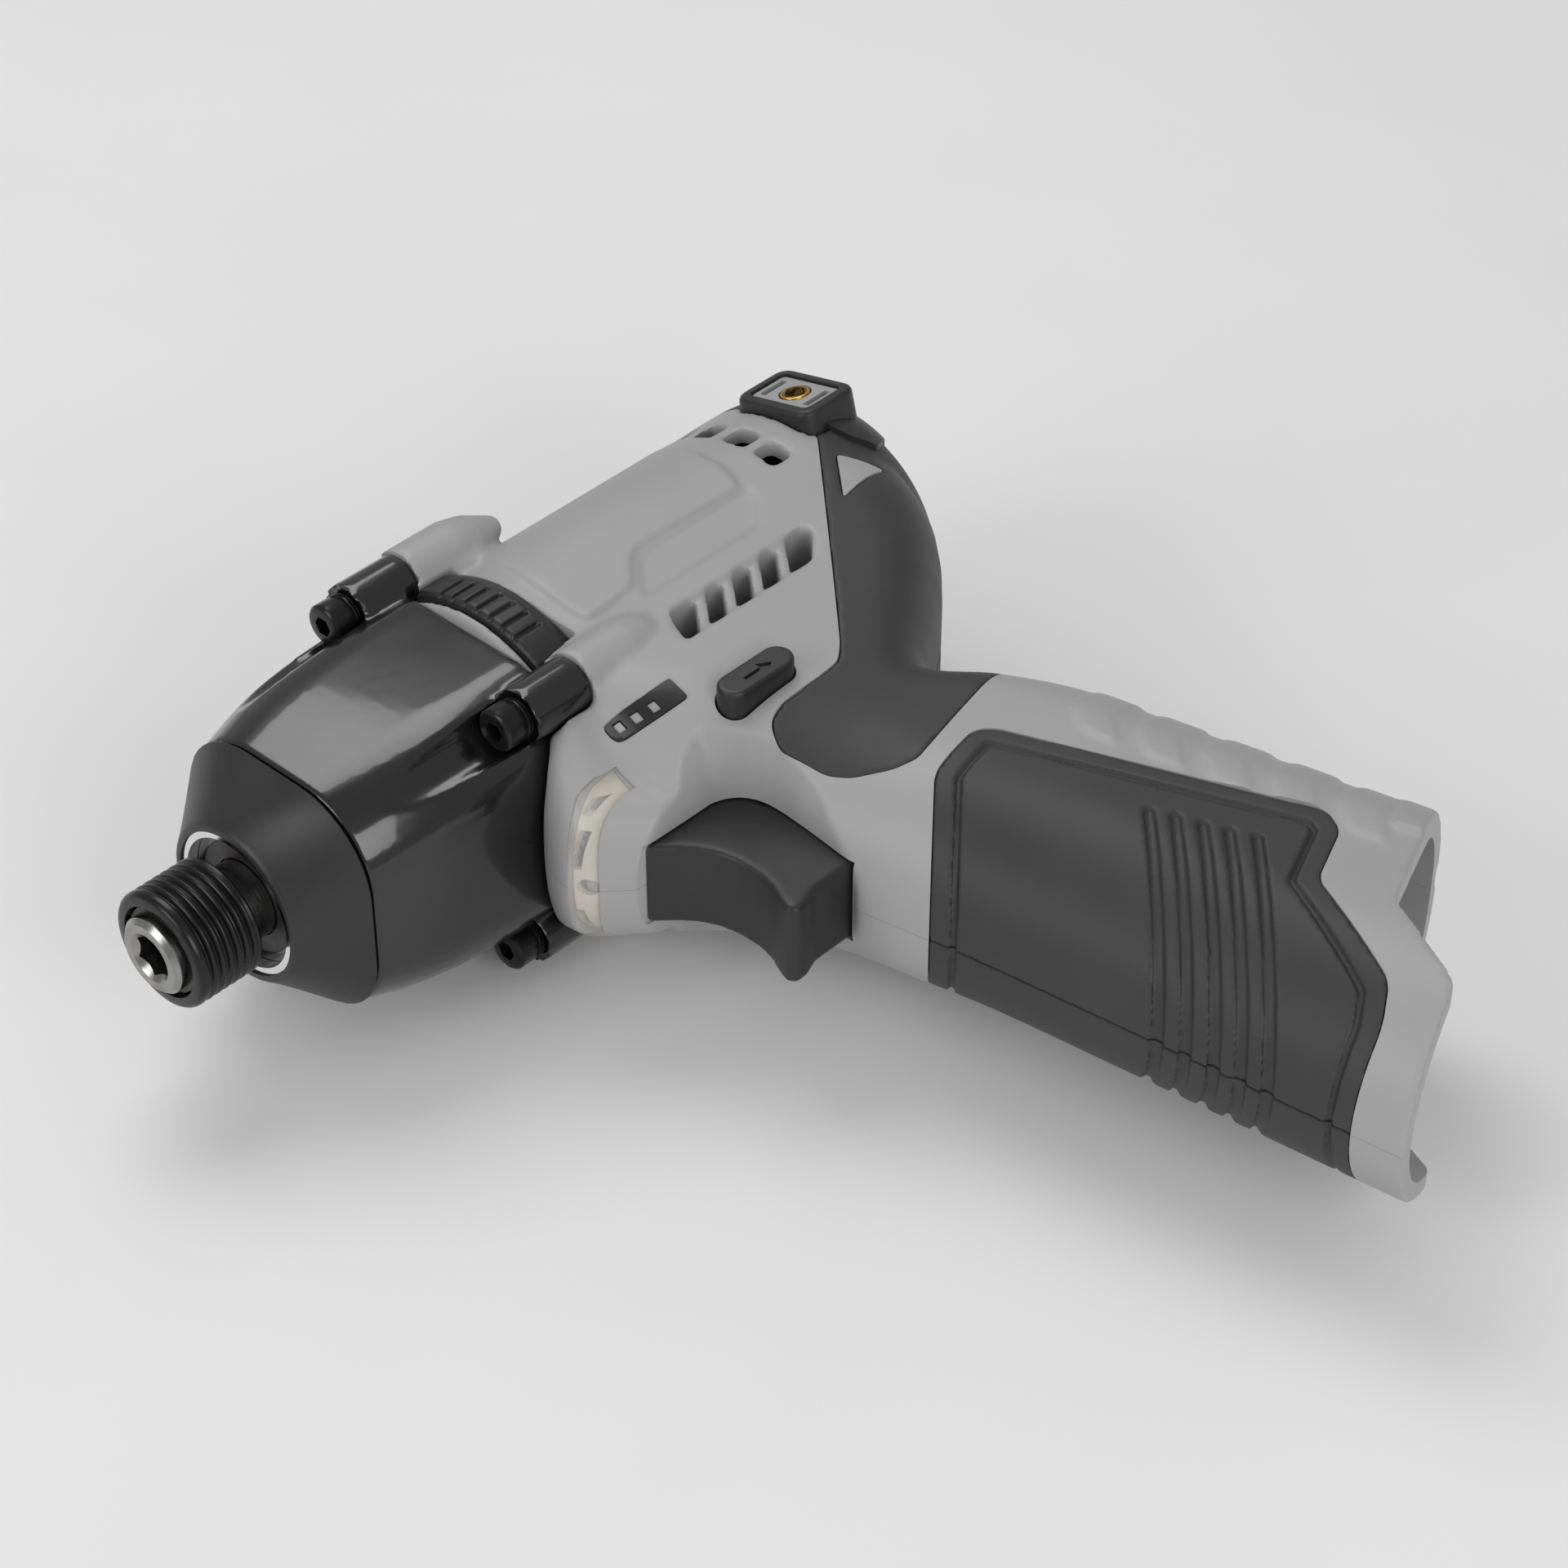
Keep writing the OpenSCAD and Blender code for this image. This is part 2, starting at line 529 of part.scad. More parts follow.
// Work light in the prow under the hammer case
module light_lens() {
  color([0.9, 0.9, 0.85, 0.6]) difference() {
    intersection() { chin(); lens_band(); box([-63.4, 30, -40], [-40, 50, 40]); }
    chin(2.4 - fit_gap);
  }
}
module light_board() {
  color("seagreen") union() {
    box([-62.6, 33, -9], [-61.4, 38.2, 9]);
    for (z = [-1, 0, 1]) box([-61.5, 34.3, z * 6 - 1.6], [-60, 37.3, z * 6 + 1.6]);
    box([-65.9, 34.2, -3], [-62.5, 37.2, 3]);
  }
}
module gauge_cover() {
  color(GLOSS) difference() {
    intersection() { gauge_form(); box([-90, 20, 0], [-50, 50, side_z + 2.5]); }
    for (k = [0:2]) translate([-66.4 - 4 * k, 32.9, 0]) zprism(side_z - 1.6, side_z + 20) square([1.9, 2.2], center = true);
  }
}
module gauge_board() {
  color("seagreen") union() {
    box([-76.8, 30.1, side_z - 3.5], [-65.2, 35.2, side_z - 2]);
    for (k = [0:2]) translate([-66.4 - 4 * k, 32.9, 0]) zprism(side_z - 2.1, side_z + 1) square([1.7, 2], center = true);
  }
}

// Planet stage
module ring_gear() { color(STEEL) difference() { xcyl(planet_x0 + 1, planet_x1 - 1, ring_or); xflat(planet_x0 + 3, planet_x1 - 3) ring_bore(ring_z); } }
module gearbox_plate() {
  color("dimgray") difference() {
    union() {
      xcyl(plate_x0, plate_x1, bore_r - fit_gap);
      xtube(planet_x0 + 1.4, plate_x0, bore_r - fit_gap, ring_or + fit_gap);
    }
    xcyl(plate_x0 + 1, bearing_x0, shaft_d / 2 + 2.4);
    xcyl(bearing_x0, bearing_x0 - bearing_w, front_brg_r + 0.02);
    xcyl(plate_x0, plate_x1 - 1, front_brg_r - 1.6);
    xtube(plate_x0 + 1, plate_x0 - 0.01, ring_or - 1, 1);
  }
}
module bearing(x0, x1, ro, ri) {
  difference() {
    xtube(x0, x1, ro, ri);
    for (x = [x0, x1]) xtube(x - 0.4, x + 0.4, (ro + ri) / 2 + 1, (ro + ri) / 2 - 1);
  }
}
module front_bearing() { color(STEEL) bearing(bearing_x0, bearing_x0 - bearing_w, front_brg_r, shaft_d / 2 + run); }
module rear_bearing() { color(STEEL) bearing(rear_brg_x0 - 0.1, rear_brg_x1, rear_brg_r, shaft_d / 2 + run); }

// Motor
module stator_core() {
  color("slategray") difference() {
    xcyl(core_x0, core_x1, stator_r);
    xflat(core_x0 + 1, core_x1 - 1) {
      circle(rotor_r + 0.5);
      for (k = [0:5]) rotate(60 * k + 30) difference() {
        intersection() { circle(stator_r - 3); polygon([[0, 0], [30, 17.32], [30, -17.32]]); }
        circle(rotor_r + 2);
        for (s = [-1, 1]) rotate(30 * s) square([60, 4.6], center = true);
      }
      for (k = [0:5]) rotate(60 * k + 30) translate([rotor_r + 0.3, -0.8]) square([3, 1.6]);
    }
  }
}
module stator_coils() {
  color("peru") for (k = [0:5]) rotate([60 * k, 0, 0]) difference() {
    box([core_x1 - coil_len, rotor_r + 2.2, -4.6], [core_x0 + coil_len, stator_r - 3.1, 4.6]);
    box([core_x1, rotor_r, -2.4], [core_x0, stator_r, 2.4]);
    xtube(core_x0 + 9, core_x1 - 9, rotor_r + 2.1, 1);
    for (s = [-1, 1]) rotate([30 * s, 0, 0]) box([-200, 0, s > 0 ? -0.2 : -8], [0, 40, s > 0 ? 8 : 0.2]);
    difference() { xcyl(core_x0 + 9, core_x1 - 9, stator_r + 4); xcyl(core_x0 + 10, core_x1 - 10, stator_r - 3.1); }
  }
}
module hall_board() {
  color("seagreen") difference() {
    xtube(hall_x, hall_x - 1.5, bore_r - fit_gap, front_brg_r + 1.5);
    for (k = [0:2]) rotate([120 * k + 60, 0, 0]) translate([0, bore_r - 4, 0]) xcyl(hall_x + 2, hall_x - 4, 1.6);
  }
}
module rotor_shaft() {
  color(STEEL) union() {
    xcyl(planet_x0 + 1, rear_brg_x1 - 1, shaft_d / 2);
    xflat(planet_x0 - 0.2, planet_x1 - 1.2) spur(sun_z);
  }
}
module rotor_core() { color("slategray") xtube(core_x0, core_x1, rotor_r - 2.4, shaft_d / 2 + 0.02); }
module rotor_magnets() {
  color("dimgray") for (k = [0:3]) rotate([90 * k, 0, 0]) intersection() {
    xtube(core_x0, core_x1, rotor_r, rotor_r - 2.38);
    xflat(core_x0 + 1, core_x1 - 1) polygon([[0, 0], [30, 26], [30, -26]]);
  }
}
module motor_fan() {
  color("black") difference() {
    union() {
      xtube(fan_x0, fan_x1, 6, shaft_d / 2 + 0.02);
      xtube(fan_x1 + 1.5, fan_x1, fan_r, 5);
      for (k = [0:fan_n - 1]) rotate([360 / fan_n * k, 0, 0]) box([fan_x1 + 1, 5.4, -0.6], [fan_x0, fan_r - 0.6, 0.6]);
    }
    xrev([[7, fan_x0 + 1], [fan_r - 5, fan_x0 - 2.5], [fan_r + 5, fan_x0 - 2.5], [fan_r + 5, fan_x0 + 1]]);
  }
}

// Switch, controller, battery contacts and leads
module trigger_switch() {
  color("#232326") difference() {
    union() {
      box([-111.8, arch_y + 0.6, -12], [switch_x, horn_y - 0.2, 12]);
    }
    translate([0, 57.4, 0]) xcyl(-80, -108, 2.8);
    box([-112, horn_y - 5, -9], [-109.5, horn_y, 9]);
  }
}
module controller_board() {
  color("seagreen") union() {
    box([-112.9, 70, -13], [-91.1, 71.6, 13]);
    for (x = [-109, -102, -95]) box([x - 2.5, 71.5, -9], [x + 2.5, 75, -2]);
    box([-110, 71.5, 1], [-95, 77.4, 10]);
    box([-103, horn_y + 0.1, -6], [-97, 70.1, 6]);
  }
}
module battery_terminals() {
  color("black") union() {
    box([-112.9, 79, -13], [-91.1, 87.9, 13]);
    for (z = [-8, 0, 8]) translate([-104, 85, z]) rotate([0, 0, bay_rake]) box([-6, 0, -0.5], [6, 13, 0.5]);
    box([-108, 77.4, 2], [-97, 79.1, 9]);
  }
}
module wire(a, b) {
  d = b - a;
  l = norm(d);
  translate(a) rotate([0, acos(d[2] / l), atan2(d[1], d[0])]) cylinder(r = 0.9, h = l);
}
module motor_leads() {
  color("firebrick") for (k = [-1, 0, 1]) {
    p = [[-94.2, bore_r - 7.4, 4 * k], [-96.4, 22, 4 * k], [-96.4, 48.1, 4 * k]];
    for (i = [0:1]) wire(p[i], p[i + 1]);
    translate(p[1]) sphere(1.1);
  }
}

// Anvil with bit socket, wings and camshaft pilot
module anvil() {
  color(STEEL) difference() {
    union() {
      xrev([[0, 0], [anvil_r - 0.8, 0], [anvil_r, -0.8], [anvil_r, wing_x0 + 1.2], [anvil_r + 2.4, wing_x0 + 1.2], [anvil_r + 2.4, wing_x1], [0, wing_x1]]);
      intersection() {
        xcyl(wing_x0, wing_x1, ham_r - 1.2);
        box([wing_x1, -30, -4.6], [wing_x0, 30, 4.6]);
      }
    }
    xflat(1, -hex_depth) rotate(30) circle(r = hex_r, $fn = 6);
    xrev([[0, 1], [hex_r + 1.4, 1], [hex_r + 0.5, 0], [hex_r - 0.6, -1.1], [0, -1.1]]);
    xcyl(wing_x1 - 1, wing_x1 + 12, 4 + run);
    xtube(-collar_back - 0.7, -collar_back - 1.6, anvil_r + 1, anvil_r - 0.7);
    for (s = [0, 1]) rotate([180 * s, 0, 0]) ycyl(-10.6, 0, 0, detent_d / 2 + 0.04, 20);
  }
}
module collar_circlip() { color("dimgray") xtube(-collar_back - 0.75, -collar_back - 1.55, anvil_r + 0.8, anvil_r - 0.65); }
module collar_washer() { color(STEEL) xtube(-collar_back - 1.6, -collar_back - 2.4, collar_in - slide_gap, anvil_r + 0.05); }
module collar_spring() {
  color("gainsboro") coil(-collar_back - 2.8, -collar_back - 3.5 - collar_travel, (anvil_r + collar_in) / 2, 0.34, 2.6);
}
module detent_balls() { color(STEEL) for (s = [-1, 1]) translate([-10.6, s * (anvil_r - detent_d / 2 - 0.06), 0]) sphere(d = detent_d); }
module bit_collar() {
  r = collar_d / 2;
  x0 = -collar_back;
  x1 = x0 - collar_len;
  color(GLOSS) difference() {
    xrev(concat([[collar_in, x0], [r - 0.6, x0], [r, x0 - 0.9]],
      [for (k = [0:5]) each [[r, x0 - 1.6 - 1.55 * k], [r - 0.75, x0 - 1.9 - 1.55 * k], [r - 0.75, x0 - 2.4 - 1.55 * k], [r, x0 - 2.7 - 1.55 * k]]],
      [[r, x1 + 0.4], [r - 0.5, x1], [anvil_r + run, x1], [anvil_r + run, x0 - 3.9 - collar_travel], [collar_in, x0 - 3.9 - collar_travel]]));
    xtube(x1 + 1.2, x1 - 1, anvil_r + 1.9, anvil_r - 1);
  }
}

// Camshaft with the planet carrier behind it
module camshaft() {
  color(STEEL) difference() {
    union() {
      xcyl(wing_x1 + 11, wing_x1 - 1, 4);
      xcyl(wing_x1 - 0.6, carrier_x0 - 0.1, cam_r);
      xcyl(carrier_x0, planet_x0 + 0.4, orbit_r + 4.4);
      xcyl(planet_x1 - 0.4, carrier_x1, orbit_r + 4.4);
      for (k = [0:planet_n - 1]) rotate([360 / planet_n * (k + 0.5), 0, 0])
        intersection() {
          xtube(carrier_x0 - 0.5, carrier_x1 + 0.5, orbit_r + 4, orbit_r + 0.4);
          box([carrier_x1 - 1, 0, -2.9], [carrier_x0 + 1, 30, 2.9]);
        }
    }
    xcyl(planet_x0 + 1.6, carrier_x1 - 1, sun_r + 1.2);
    for (k = [0:planet_n - 1]) rotate([360 / planet_n * k, 0, 0]) translate([0, orbit_r, 0]) xcyl(carrier_x0 + 1, carrier_x1 - 1, pin_r);
    for (s = [0, 1]) rotate([180 * s + 90, 0, 0]) translate([ham_x0 - 3.6, cam_r, 0]) sphere(d = cam_ball_d + 0.1);
  }
}
module cam_balls() { color(STEEL) for (s = [0, 1]) rotate([180 * s + 90, 0, 0]) translate([ham_x0 - 3.6, cam_r, 0]) sphere(d = cam_ball_d); }
module planet_pins() { color("gainsboro") for (k = [0:planet_n - 1]) rotate([360 / planet_n * k, 0, 0]) translate([0, orbit_r, 0]) xcyl(carrier_x0, carrier_x1, pin_r - 0.01); }
module planet_gear(k) {
  color(STEEL) rotate([360 / planet_n * k, 0, 0]) translate([0, orbit_r, 0]) difference() {
    xflat(planet_x0, planet_x1) rotate(180 / planet_z) spur(planet_z);
    xcyl(planet_x0 + 1, planet_x1 - 1, pin_r + run);
  }
}
module planet_gear_1() { planet_gear(0); }
module planet_gear_2() { planet_gear(1); }
module planet_gear_3() { planet_gear(2); }
module hammer_spring() { color("gainsboro") coil(ham_floor - 1.3, carrier_x0 + 1.3, cam_r + 3.7, 1.05, 5.2); }
module hammer() {
  color("slategray") difference() {
    union() {
      xcyl(ham_x0, ham_x1, ham_r);
      for (s = [0, 1]) rotate([180 * s, 0, 0]) intersection() {
        xtube(ham_x0, wing_x0 - 1.4, ham_r - 0.6, anvil_r + 3.2);
        rotate([90, 0, 0]) box([ham_x0 - 1, 0, -6], [wing_x0, 30, 6]);
      }
    }
    xcyl(wing_x0, ham_x1 - 1, cam_r + run);
    xtube(ham_floor, ham_x1 - 2, ham_r - 2.4, cam_r + 2);
    for (s = [0, 1]) rotate([180 * s + 90, 0, 0]) translate([0, cam_r, 0]) {
      xcyl(wing_x0, ham_x0 - 3.6, cam_ball_d / 2 + 0.1);
      translate([ham_x0 - 3.6, 0, 0]) sphere(d = cam_ball_d + 0.2);
    }
  }
}

// Trigger, its return spring and the direction selector
function finger(d) = [for (p = [[-67.4, horn_y + 0.2], [-66.4, 66.2], [-66.8, 64.6], [-68, 61.5], [-68.8, 58], [-68.8, 54.2],
  [-68, 50.6], [-66.6, 47.6], [-64.6, 45.2], [-61.8, 43]]) [p[0] - d, p[1]]];
module trigger() {
  hz = trigger_w / 2;
  color(DARK) difference() {
    union() {
      zprism(-hz, hz) polygon(concat([[-67.4, 43], [-67.4, arch_y + 0.5], [trig_back, arch_y + 0.5], [trig_back, horn_y - 0.5],
        [-72, horn_y - 0.5], [-69.2, horn_y + 0.4]], finger(0)));
      translate([0, 57.4, 0]) xcyl(-80, -98, 2.5);
    }
    difference() {
      translate([0, 57.4, 0]) xcyl(-76, -90, 5);
      translate([0, 57.4, 0]) xcyl(-70, -95, 2.5);
    }
    both() zprism(hz - 1.5, hz + 2) polygon(concat([[-50, 40], [-50, 72], [-68.6, 72]], finger(0.9), [[-62.7, 40]]));
  }
}
module trigger_spring() { color("gainsboro") translate([0, 57.4, 0]) coil(-76.6, switch_x + 0.5, 3.7, 0.42, 7.2); }
module direction_selector() {
  color(DARK) translate([sel_c[0], sel_c[1], 0]) difference() {
    zprism(-sel_z, sel_z + selector_out) capsule(selector_l, selector_h);
    zprism(-15, 15) translate([0, -3.6]) square([8, 3], center = true);
  }
}

housing_left();
housing_right();
grip_cover_left();
grip_cover_right();
rear_cover_left();
rear_cover_right();
side_pads();
hammer_case();
nose_cap();
nose_ring();
nose_washer();
case_screws();
spring_washers();
housing_screws();
clip_frames();
clip_plates();
clip_inserts();
light_lens();
light_board();
gauge_cover();
gauge_board();
anvil_bush();
ring_gear();
gearbox_plate();
stator_core();
stator_coils();
front_bearing();
rear_bearing();
hall_board();
trigger_switch();
controller_board();
battery_terminals();
motor_leads();
anvil();
collar_circlip();
collar_washer();
collar_spring();
detent_balls();
bit_collar();
camshaft();
cam_balls();
planet_pins();
hammer_spring();
hammer();
planet_gear_1();
planet_gear_2();
planet_gear_3();
rotor_shaft();
rotor_core();
rotor_magnets();
motor_fan();
trigger();
trigger_spring();
direction_selector();
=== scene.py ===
# %% [markdown]
# A compact impact driver, dressed in Blender.
# The solid model gives the size and place of every piece. This lesson loads it as a fixed frame, then makes the
# outer pieces again as soft-edged mouldings and castings, and gives each piece the finish that it has on the tool.

# %% Load the frame
import json
import math

import bpy
from mathutils import Matrix, Vector


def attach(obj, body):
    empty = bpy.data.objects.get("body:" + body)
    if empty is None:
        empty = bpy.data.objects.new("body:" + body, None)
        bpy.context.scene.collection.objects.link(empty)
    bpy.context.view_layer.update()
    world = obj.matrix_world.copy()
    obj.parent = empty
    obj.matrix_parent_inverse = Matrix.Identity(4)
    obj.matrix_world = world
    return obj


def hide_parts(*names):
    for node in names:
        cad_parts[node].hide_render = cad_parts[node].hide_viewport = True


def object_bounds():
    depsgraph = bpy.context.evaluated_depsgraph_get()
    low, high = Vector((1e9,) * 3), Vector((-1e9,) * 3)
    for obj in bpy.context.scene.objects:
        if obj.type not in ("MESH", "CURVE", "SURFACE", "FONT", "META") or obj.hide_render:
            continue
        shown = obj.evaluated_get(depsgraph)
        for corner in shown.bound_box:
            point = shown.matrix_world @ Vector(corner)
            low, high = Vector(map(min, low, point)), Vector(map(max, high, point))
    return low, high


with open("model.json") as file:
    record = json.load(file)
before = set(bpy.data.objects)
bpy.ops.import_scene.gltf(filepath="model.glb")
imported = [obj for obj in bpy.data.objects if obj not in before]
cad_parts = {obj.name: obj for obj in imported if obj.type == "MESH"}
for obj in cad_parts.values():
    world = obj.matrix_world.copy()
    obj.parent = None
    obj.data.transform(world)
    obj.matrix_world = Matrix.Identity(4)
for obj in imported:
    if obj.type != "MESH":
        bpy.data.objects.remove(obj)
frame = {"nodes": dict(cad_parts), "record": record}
cad_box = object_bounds()
nodes = frame["nodes"]
MM = 0.001
print("solid model", [round(v / MM, 1) for v in cad_box[1] - cad_box[0]], "mm,", len(nodes), "nodes")

# %% [markdown]
# The camera comes first, because every later look at the tool is through it.
# The photographer stood in front of the nose and to the grip's side, about 40 degrees above the table, with a long
# lens. A long lens keeps the nose and the grip nearly in proportion, so the distance matters as much as the angle.

# %% Camera
EYE = Vector((262.8, 373.0, 400.7)) * MM
AIM = Vector((-75.5, 57.0, 19.8)) * MM
bpy.ops.object.select_all(action="DESELECT")
bpy.ops.object.camera_add(location=EYE, rotation=(AIM - EYE).to_track_quat("-Z", "Y").to_euler())
camera = bpy.context.object
camera.data.sensor_width = 36
camera.data.lens = 93.75
camera.data.clip_start, camera.data.clip_end = 0.01, 20
bpy.context.scene.camera = camera
print("camera", round((EYE - AIM).length / MM), "mm from the tool")

# %% [markdown]
# Nodes can be written as sums. A Field stands for one value that changes over a surface, and adding or multiplying
# Fields lays down the Math nodes. A Finish is one material: its node method adds any other node, and its colours go
# through Mix nodes, because a Math node would turn them grey.


# %% Finishes as Python sums
class Field:
    """One value or colour that a material works out at each point."""

    def __init__(self, finish, socket):
        self.finish, self.socket = finish, socket

    def __add__(self, other):
        return self.finish.maths("ADD", self, other)

    def __sub__(self, other):
        return self.finish.maths("SUBTRACT", self, other)

    def __mul__(self, other):
        return self.finish.maths("MULTIPLY", self, other)


class Finish:
    """One material, built from nodes."""

    def __init__(self, name):
        self.material = bpy.data.materials.new(name)
        self.material.use_nodes = True
        self.tree = self.material.node_tree
        self.shader = self.tree.nodes["Principled BSDF"]
        self.place = self.node("ShaderNodeTexCoord", out="Object")

    def plug(self, socket, value):
        if isinstance(value, Field):
            self.tree.links.new(value.socket, socket)
        elif socket.type == "RGBA":
            socket.default_value = (*value[:3], 1)
        else:
            socket.default_value = value

    def node(self, kind, settings=None, out=0, **sockets):
        made = self.tree.nodes.new(kind)
        for key, value in (settings or {}).items():
            setattr(made, key, value)
        for key, value in sockets.items():
            index = int(key[1:]) if key[0] == "_" and key[1:].isdigit() else key.replace("_", " ")
            self.plug(made.inputs[index], value)
        return Field(self, made.outputs[out])

    def maths(self, operation, a, b):
        return self.node("ShaderNodeMath", {"operation": operation}, _0=a, _1=b)

    def noise(self, per_mm, detail, roughness):
        return self.node("ShaderNodeTexNoise", out="Fac", Vector=self.place, Scale=per_mm / MM,
                         Detail=detail, Roughness=roughness)

    def between(self, field, low, high, to_low=0.0, to_high=1.0):
        return self.node("ShaderNodeMapRange", out="Result", Value=field, From_Min=low, From_Max=high,
                         To_Min=to_low, To_Max=to_high)

    def blend(self, share, one, other):
        return self.node("ShaderNodeMix", {"data_type": "RGBA"}, out=2, _0=share, _6=one, _7=other)

    def bump(self, height, depth_mm):
        return self.node("ShaderNodeBump", out="Normal", Height=height, Distance=depth_mm * MM, Strength=1.0)

    def set(self, **sockets):
        for key, value in sockets.items():
            self.plug(self.shader.inputs[key.replace("_", " ")], value)


finishes = {}
print("finish classes ready")

# %% [markdown]
# The housing is glass-filled nylon with a spark-eroded grain. The grain is a fine noise, one bump every third of a
# millimetre, under a larger and much fainter cloudiness of colour. Handling polishes the plastic in broad patches,
# so the roughness drifts as well.


# %% Moulded plastics and rubber
def moulded(name, colour, rough, grain_per_mm, grain_mm, cloud=0.06, dust=0.0):
    """A moulded surface: grain, a faint cloudiness and a roughness that drifts."""
    made = Finish(name)
    grain = made.noise(grain_per_mm, 3.0, 0.6)
    patch = made.noise(0.06, 3.0, 0.55)
    pale = [min(1.0, c * (1 + cloud) + dust) for c in colour]
    deep = [c * (1 - cloud) for c in colour]
    tone = made.blend(made.between(patch, 0.3, 0.7), deep, pale)
    speck = made.between(grain, 0.35, 0.75, 0.0, 0.5)
    made.set(Base_Color=made.blend(speck * 0.25, tone, deep),
             Roughness=made.between(patch, 0.25, 0.75, rough - 0.05, rough + 0.06) + (grain - 0.5) * 0.08,
             Normal=made.bump(grain, grain_mm))
    finishes[name] = made


moulded("grey_plastic", (0.362, 0.362, 0.365), 0.46, 3.2, 0.012, 0.03)
moulded("grip_rubber", (0.032, 0.032, 0.0325), 0.52, 4.5, 0.016, 0.10, 0.003)
moulded("black_plastic", (0.018, 0.018, 0.0185), 0.42, 3.4, 0.012, 0.12)
moulded("nose_rubber", (0.021, 0.021, 0.0215), 0.40, 3.0, 0.016, 0.18, 0.002)
moulded("gauge_black", (0.014, 0.014, 0.0145), 0.34, 3.0, 0.008, 0.10)
print("plastics", list(finishes))

# %% [markdown]
# The hammer case is a die casting under gloss black enamel. Enamel levels out, so it has no grain, only a slow
# orange-peel wave a few millimetres long, and under the clear top layer the black is a little rougher.

# %% Enamel, steels and brass
enamel = Finish("gloss_black")
peel = enamel.noise(0.35, 2.0, 0.5)
haze = enamel.noise(0.05, 3.0, 0.5)
enamel.set(Base_Color=enamel.blend(enamel.between(haze, 0.3, 0.7), (0.0045, 0.0045, 0.005), (0.008, 0.008, 0.0085)),
           Roughness=enamel.between(haze, 0.3, 0.7, 0.16, 0.26), Coat_Weight=0.6, Coat_Roughness=0.06,
           Normal=enamel.bump(peel, 0.02))
finishes["gloss_black"] = enamel


def metal(name, colour, rough, turned_mm=0.0, stain=0.15, metallic=1.0):
    """A metal with drifting tarnish, and lathe rings along the spindle where it was turned."""
    made = Finish(name)
    tarnish = made.noise(0.25, 4.0, 0.6)
    fine = made.noise(2.5, 3.0, 0.6)
    height = fine
    if turned_mm:
        rings = made.node("ShaderNodeTexWave", {"wave_type": "BANDS", "bands_direction": "X"}, out="Fac",
                          Vector=made.place, Scale=0.16 / (turned_mm * MM), Distortion=0.4, Detail=1.0)
        height = fine * 0.5 + rings
    dark = [c * (1 - stain) for c in colour]
    made.set(Base_Color=made.blend(made.between(tarnish, 0.3, 0.75), colour, dark), Metallic=metallic,
             Roughness=made.between(tarnish, 0.3, 0.7, rough - 0.05, rough + 0.08), Normal=made.bump(height, 0.008))
    finishes[name] = made


metal("chrome", (0.80, 0.80, 0.80), 0.10, stain=0.05)
metal("steel", (0.58, 0.58, 0.57), 0.28, 0.4)
metal("anvil_steel", (0.36, 0.355, 0.35), 0.26, 0.35, 0.25)
metal("dark_steel", (0.10, 0.10, 0.10), 0.42, 0.5, 0.3)
metal("black_steel", (0.012, 0.012, 0.0125), 0.24, 0.0, 0.3, 0.35)
metal("brass", (0.78, 0.46, 0.10), 0.20, 0.3, 0.2)
metal("copper", (0.62, 0.26, 0.10), 0.30, 0.45, 0.25)
print("finishes so far", list(finishes))

# %% [markdown]
# The lens is clear moulded polycarbonate. Tracing real refraction through a thin wall is slow and noisy, so most of
# it is see-through, and a glossy layer keeps the bright edges. Faint flow lines and a grey tint make it read as
# plastic rather than air.

# %% Lens, boards and sleeves
lens = Finish("clear_lens")
flow = lens.noise(0.15, 2.0, 0.5)
lens.set(Base_Color=lens.blend(lens.between(flow, 0.35, 0.65), (0.76, 0.75, 0.72), (0.86, 0.85, 0.82)),
         Roughness=lens.between(flow, 0.3, 0.7, 0.05, 0.09), Alpha=lens.between(flow, 0.3, 0.7, 0.14, 0.22),
         Coat_Weight=0.5, Normal=lens.bump(flow, 0.03))
finishes["clear_lens"] = lens

board = Finish("circuit_board")
tracks = board.node("ShaderNodeTexBrick", out="Fac", Vector=board.place, Scale=0.18 / MM)
weave = board.noise(1.5, 2.0, 0.5)
board.set(Base_Color=board.blend(tracks * 0.5, (0.012, 0.11, 0.055), (0.02, 0.19, 0.10)),
          Roughness=board.between(weave, 0.3, 0.7, 0.25, 0.4), Normal=board.bump(tracks, 0.03))
finishes["circuit_board"] = board

moulded("reflector", (0.62, 0.56, 0.47), 0.28, 1.2, 0.01, 0.08)
moulded("gauge_pane", (0.34, 0.34, 0.335), 0.3, 2.5, 0.01, 0.12)
moulded("lead_sleeve", (0.33, 0.025, 0.025), 0.45, 2.0, 0.02, 0.1)
print("finishes", len(finishes))

# %% [markdown]
# Each node of the solid model names the slot that its finish comes from, so the finishes can be handed out in one
# loop. The pieces that are modelled again below take the same finishes.

# %% Hand out the finishes
slot_of = {part["node"]: part["material_slot"] for part in frame["record"]["subparts"]}


def wear(piece, slot):
    """Gives a piece one finish all over."""
    piece.data.materials.clear()
    piece.data.materials.append(finishes[slot].material)


for name, node in nodes.items():
    wear(node, slot_of[name])
print("dressed", len(slot_of), "nodes")

# %% [markdown]
# Every new piece is made with the same few moves that a modeller makes by hand: draw an outline, pull it up, turn it on
# an axle, stretch a skin over ribs, cut one shape with another, and rub the edges soft. The last move is the one that
# makes a moulding look moulded. A voxel remesh gives the whole surface even little squares, and a few rounds of
# smoothing then round every edge and fill every corner alike, as a real mould does.


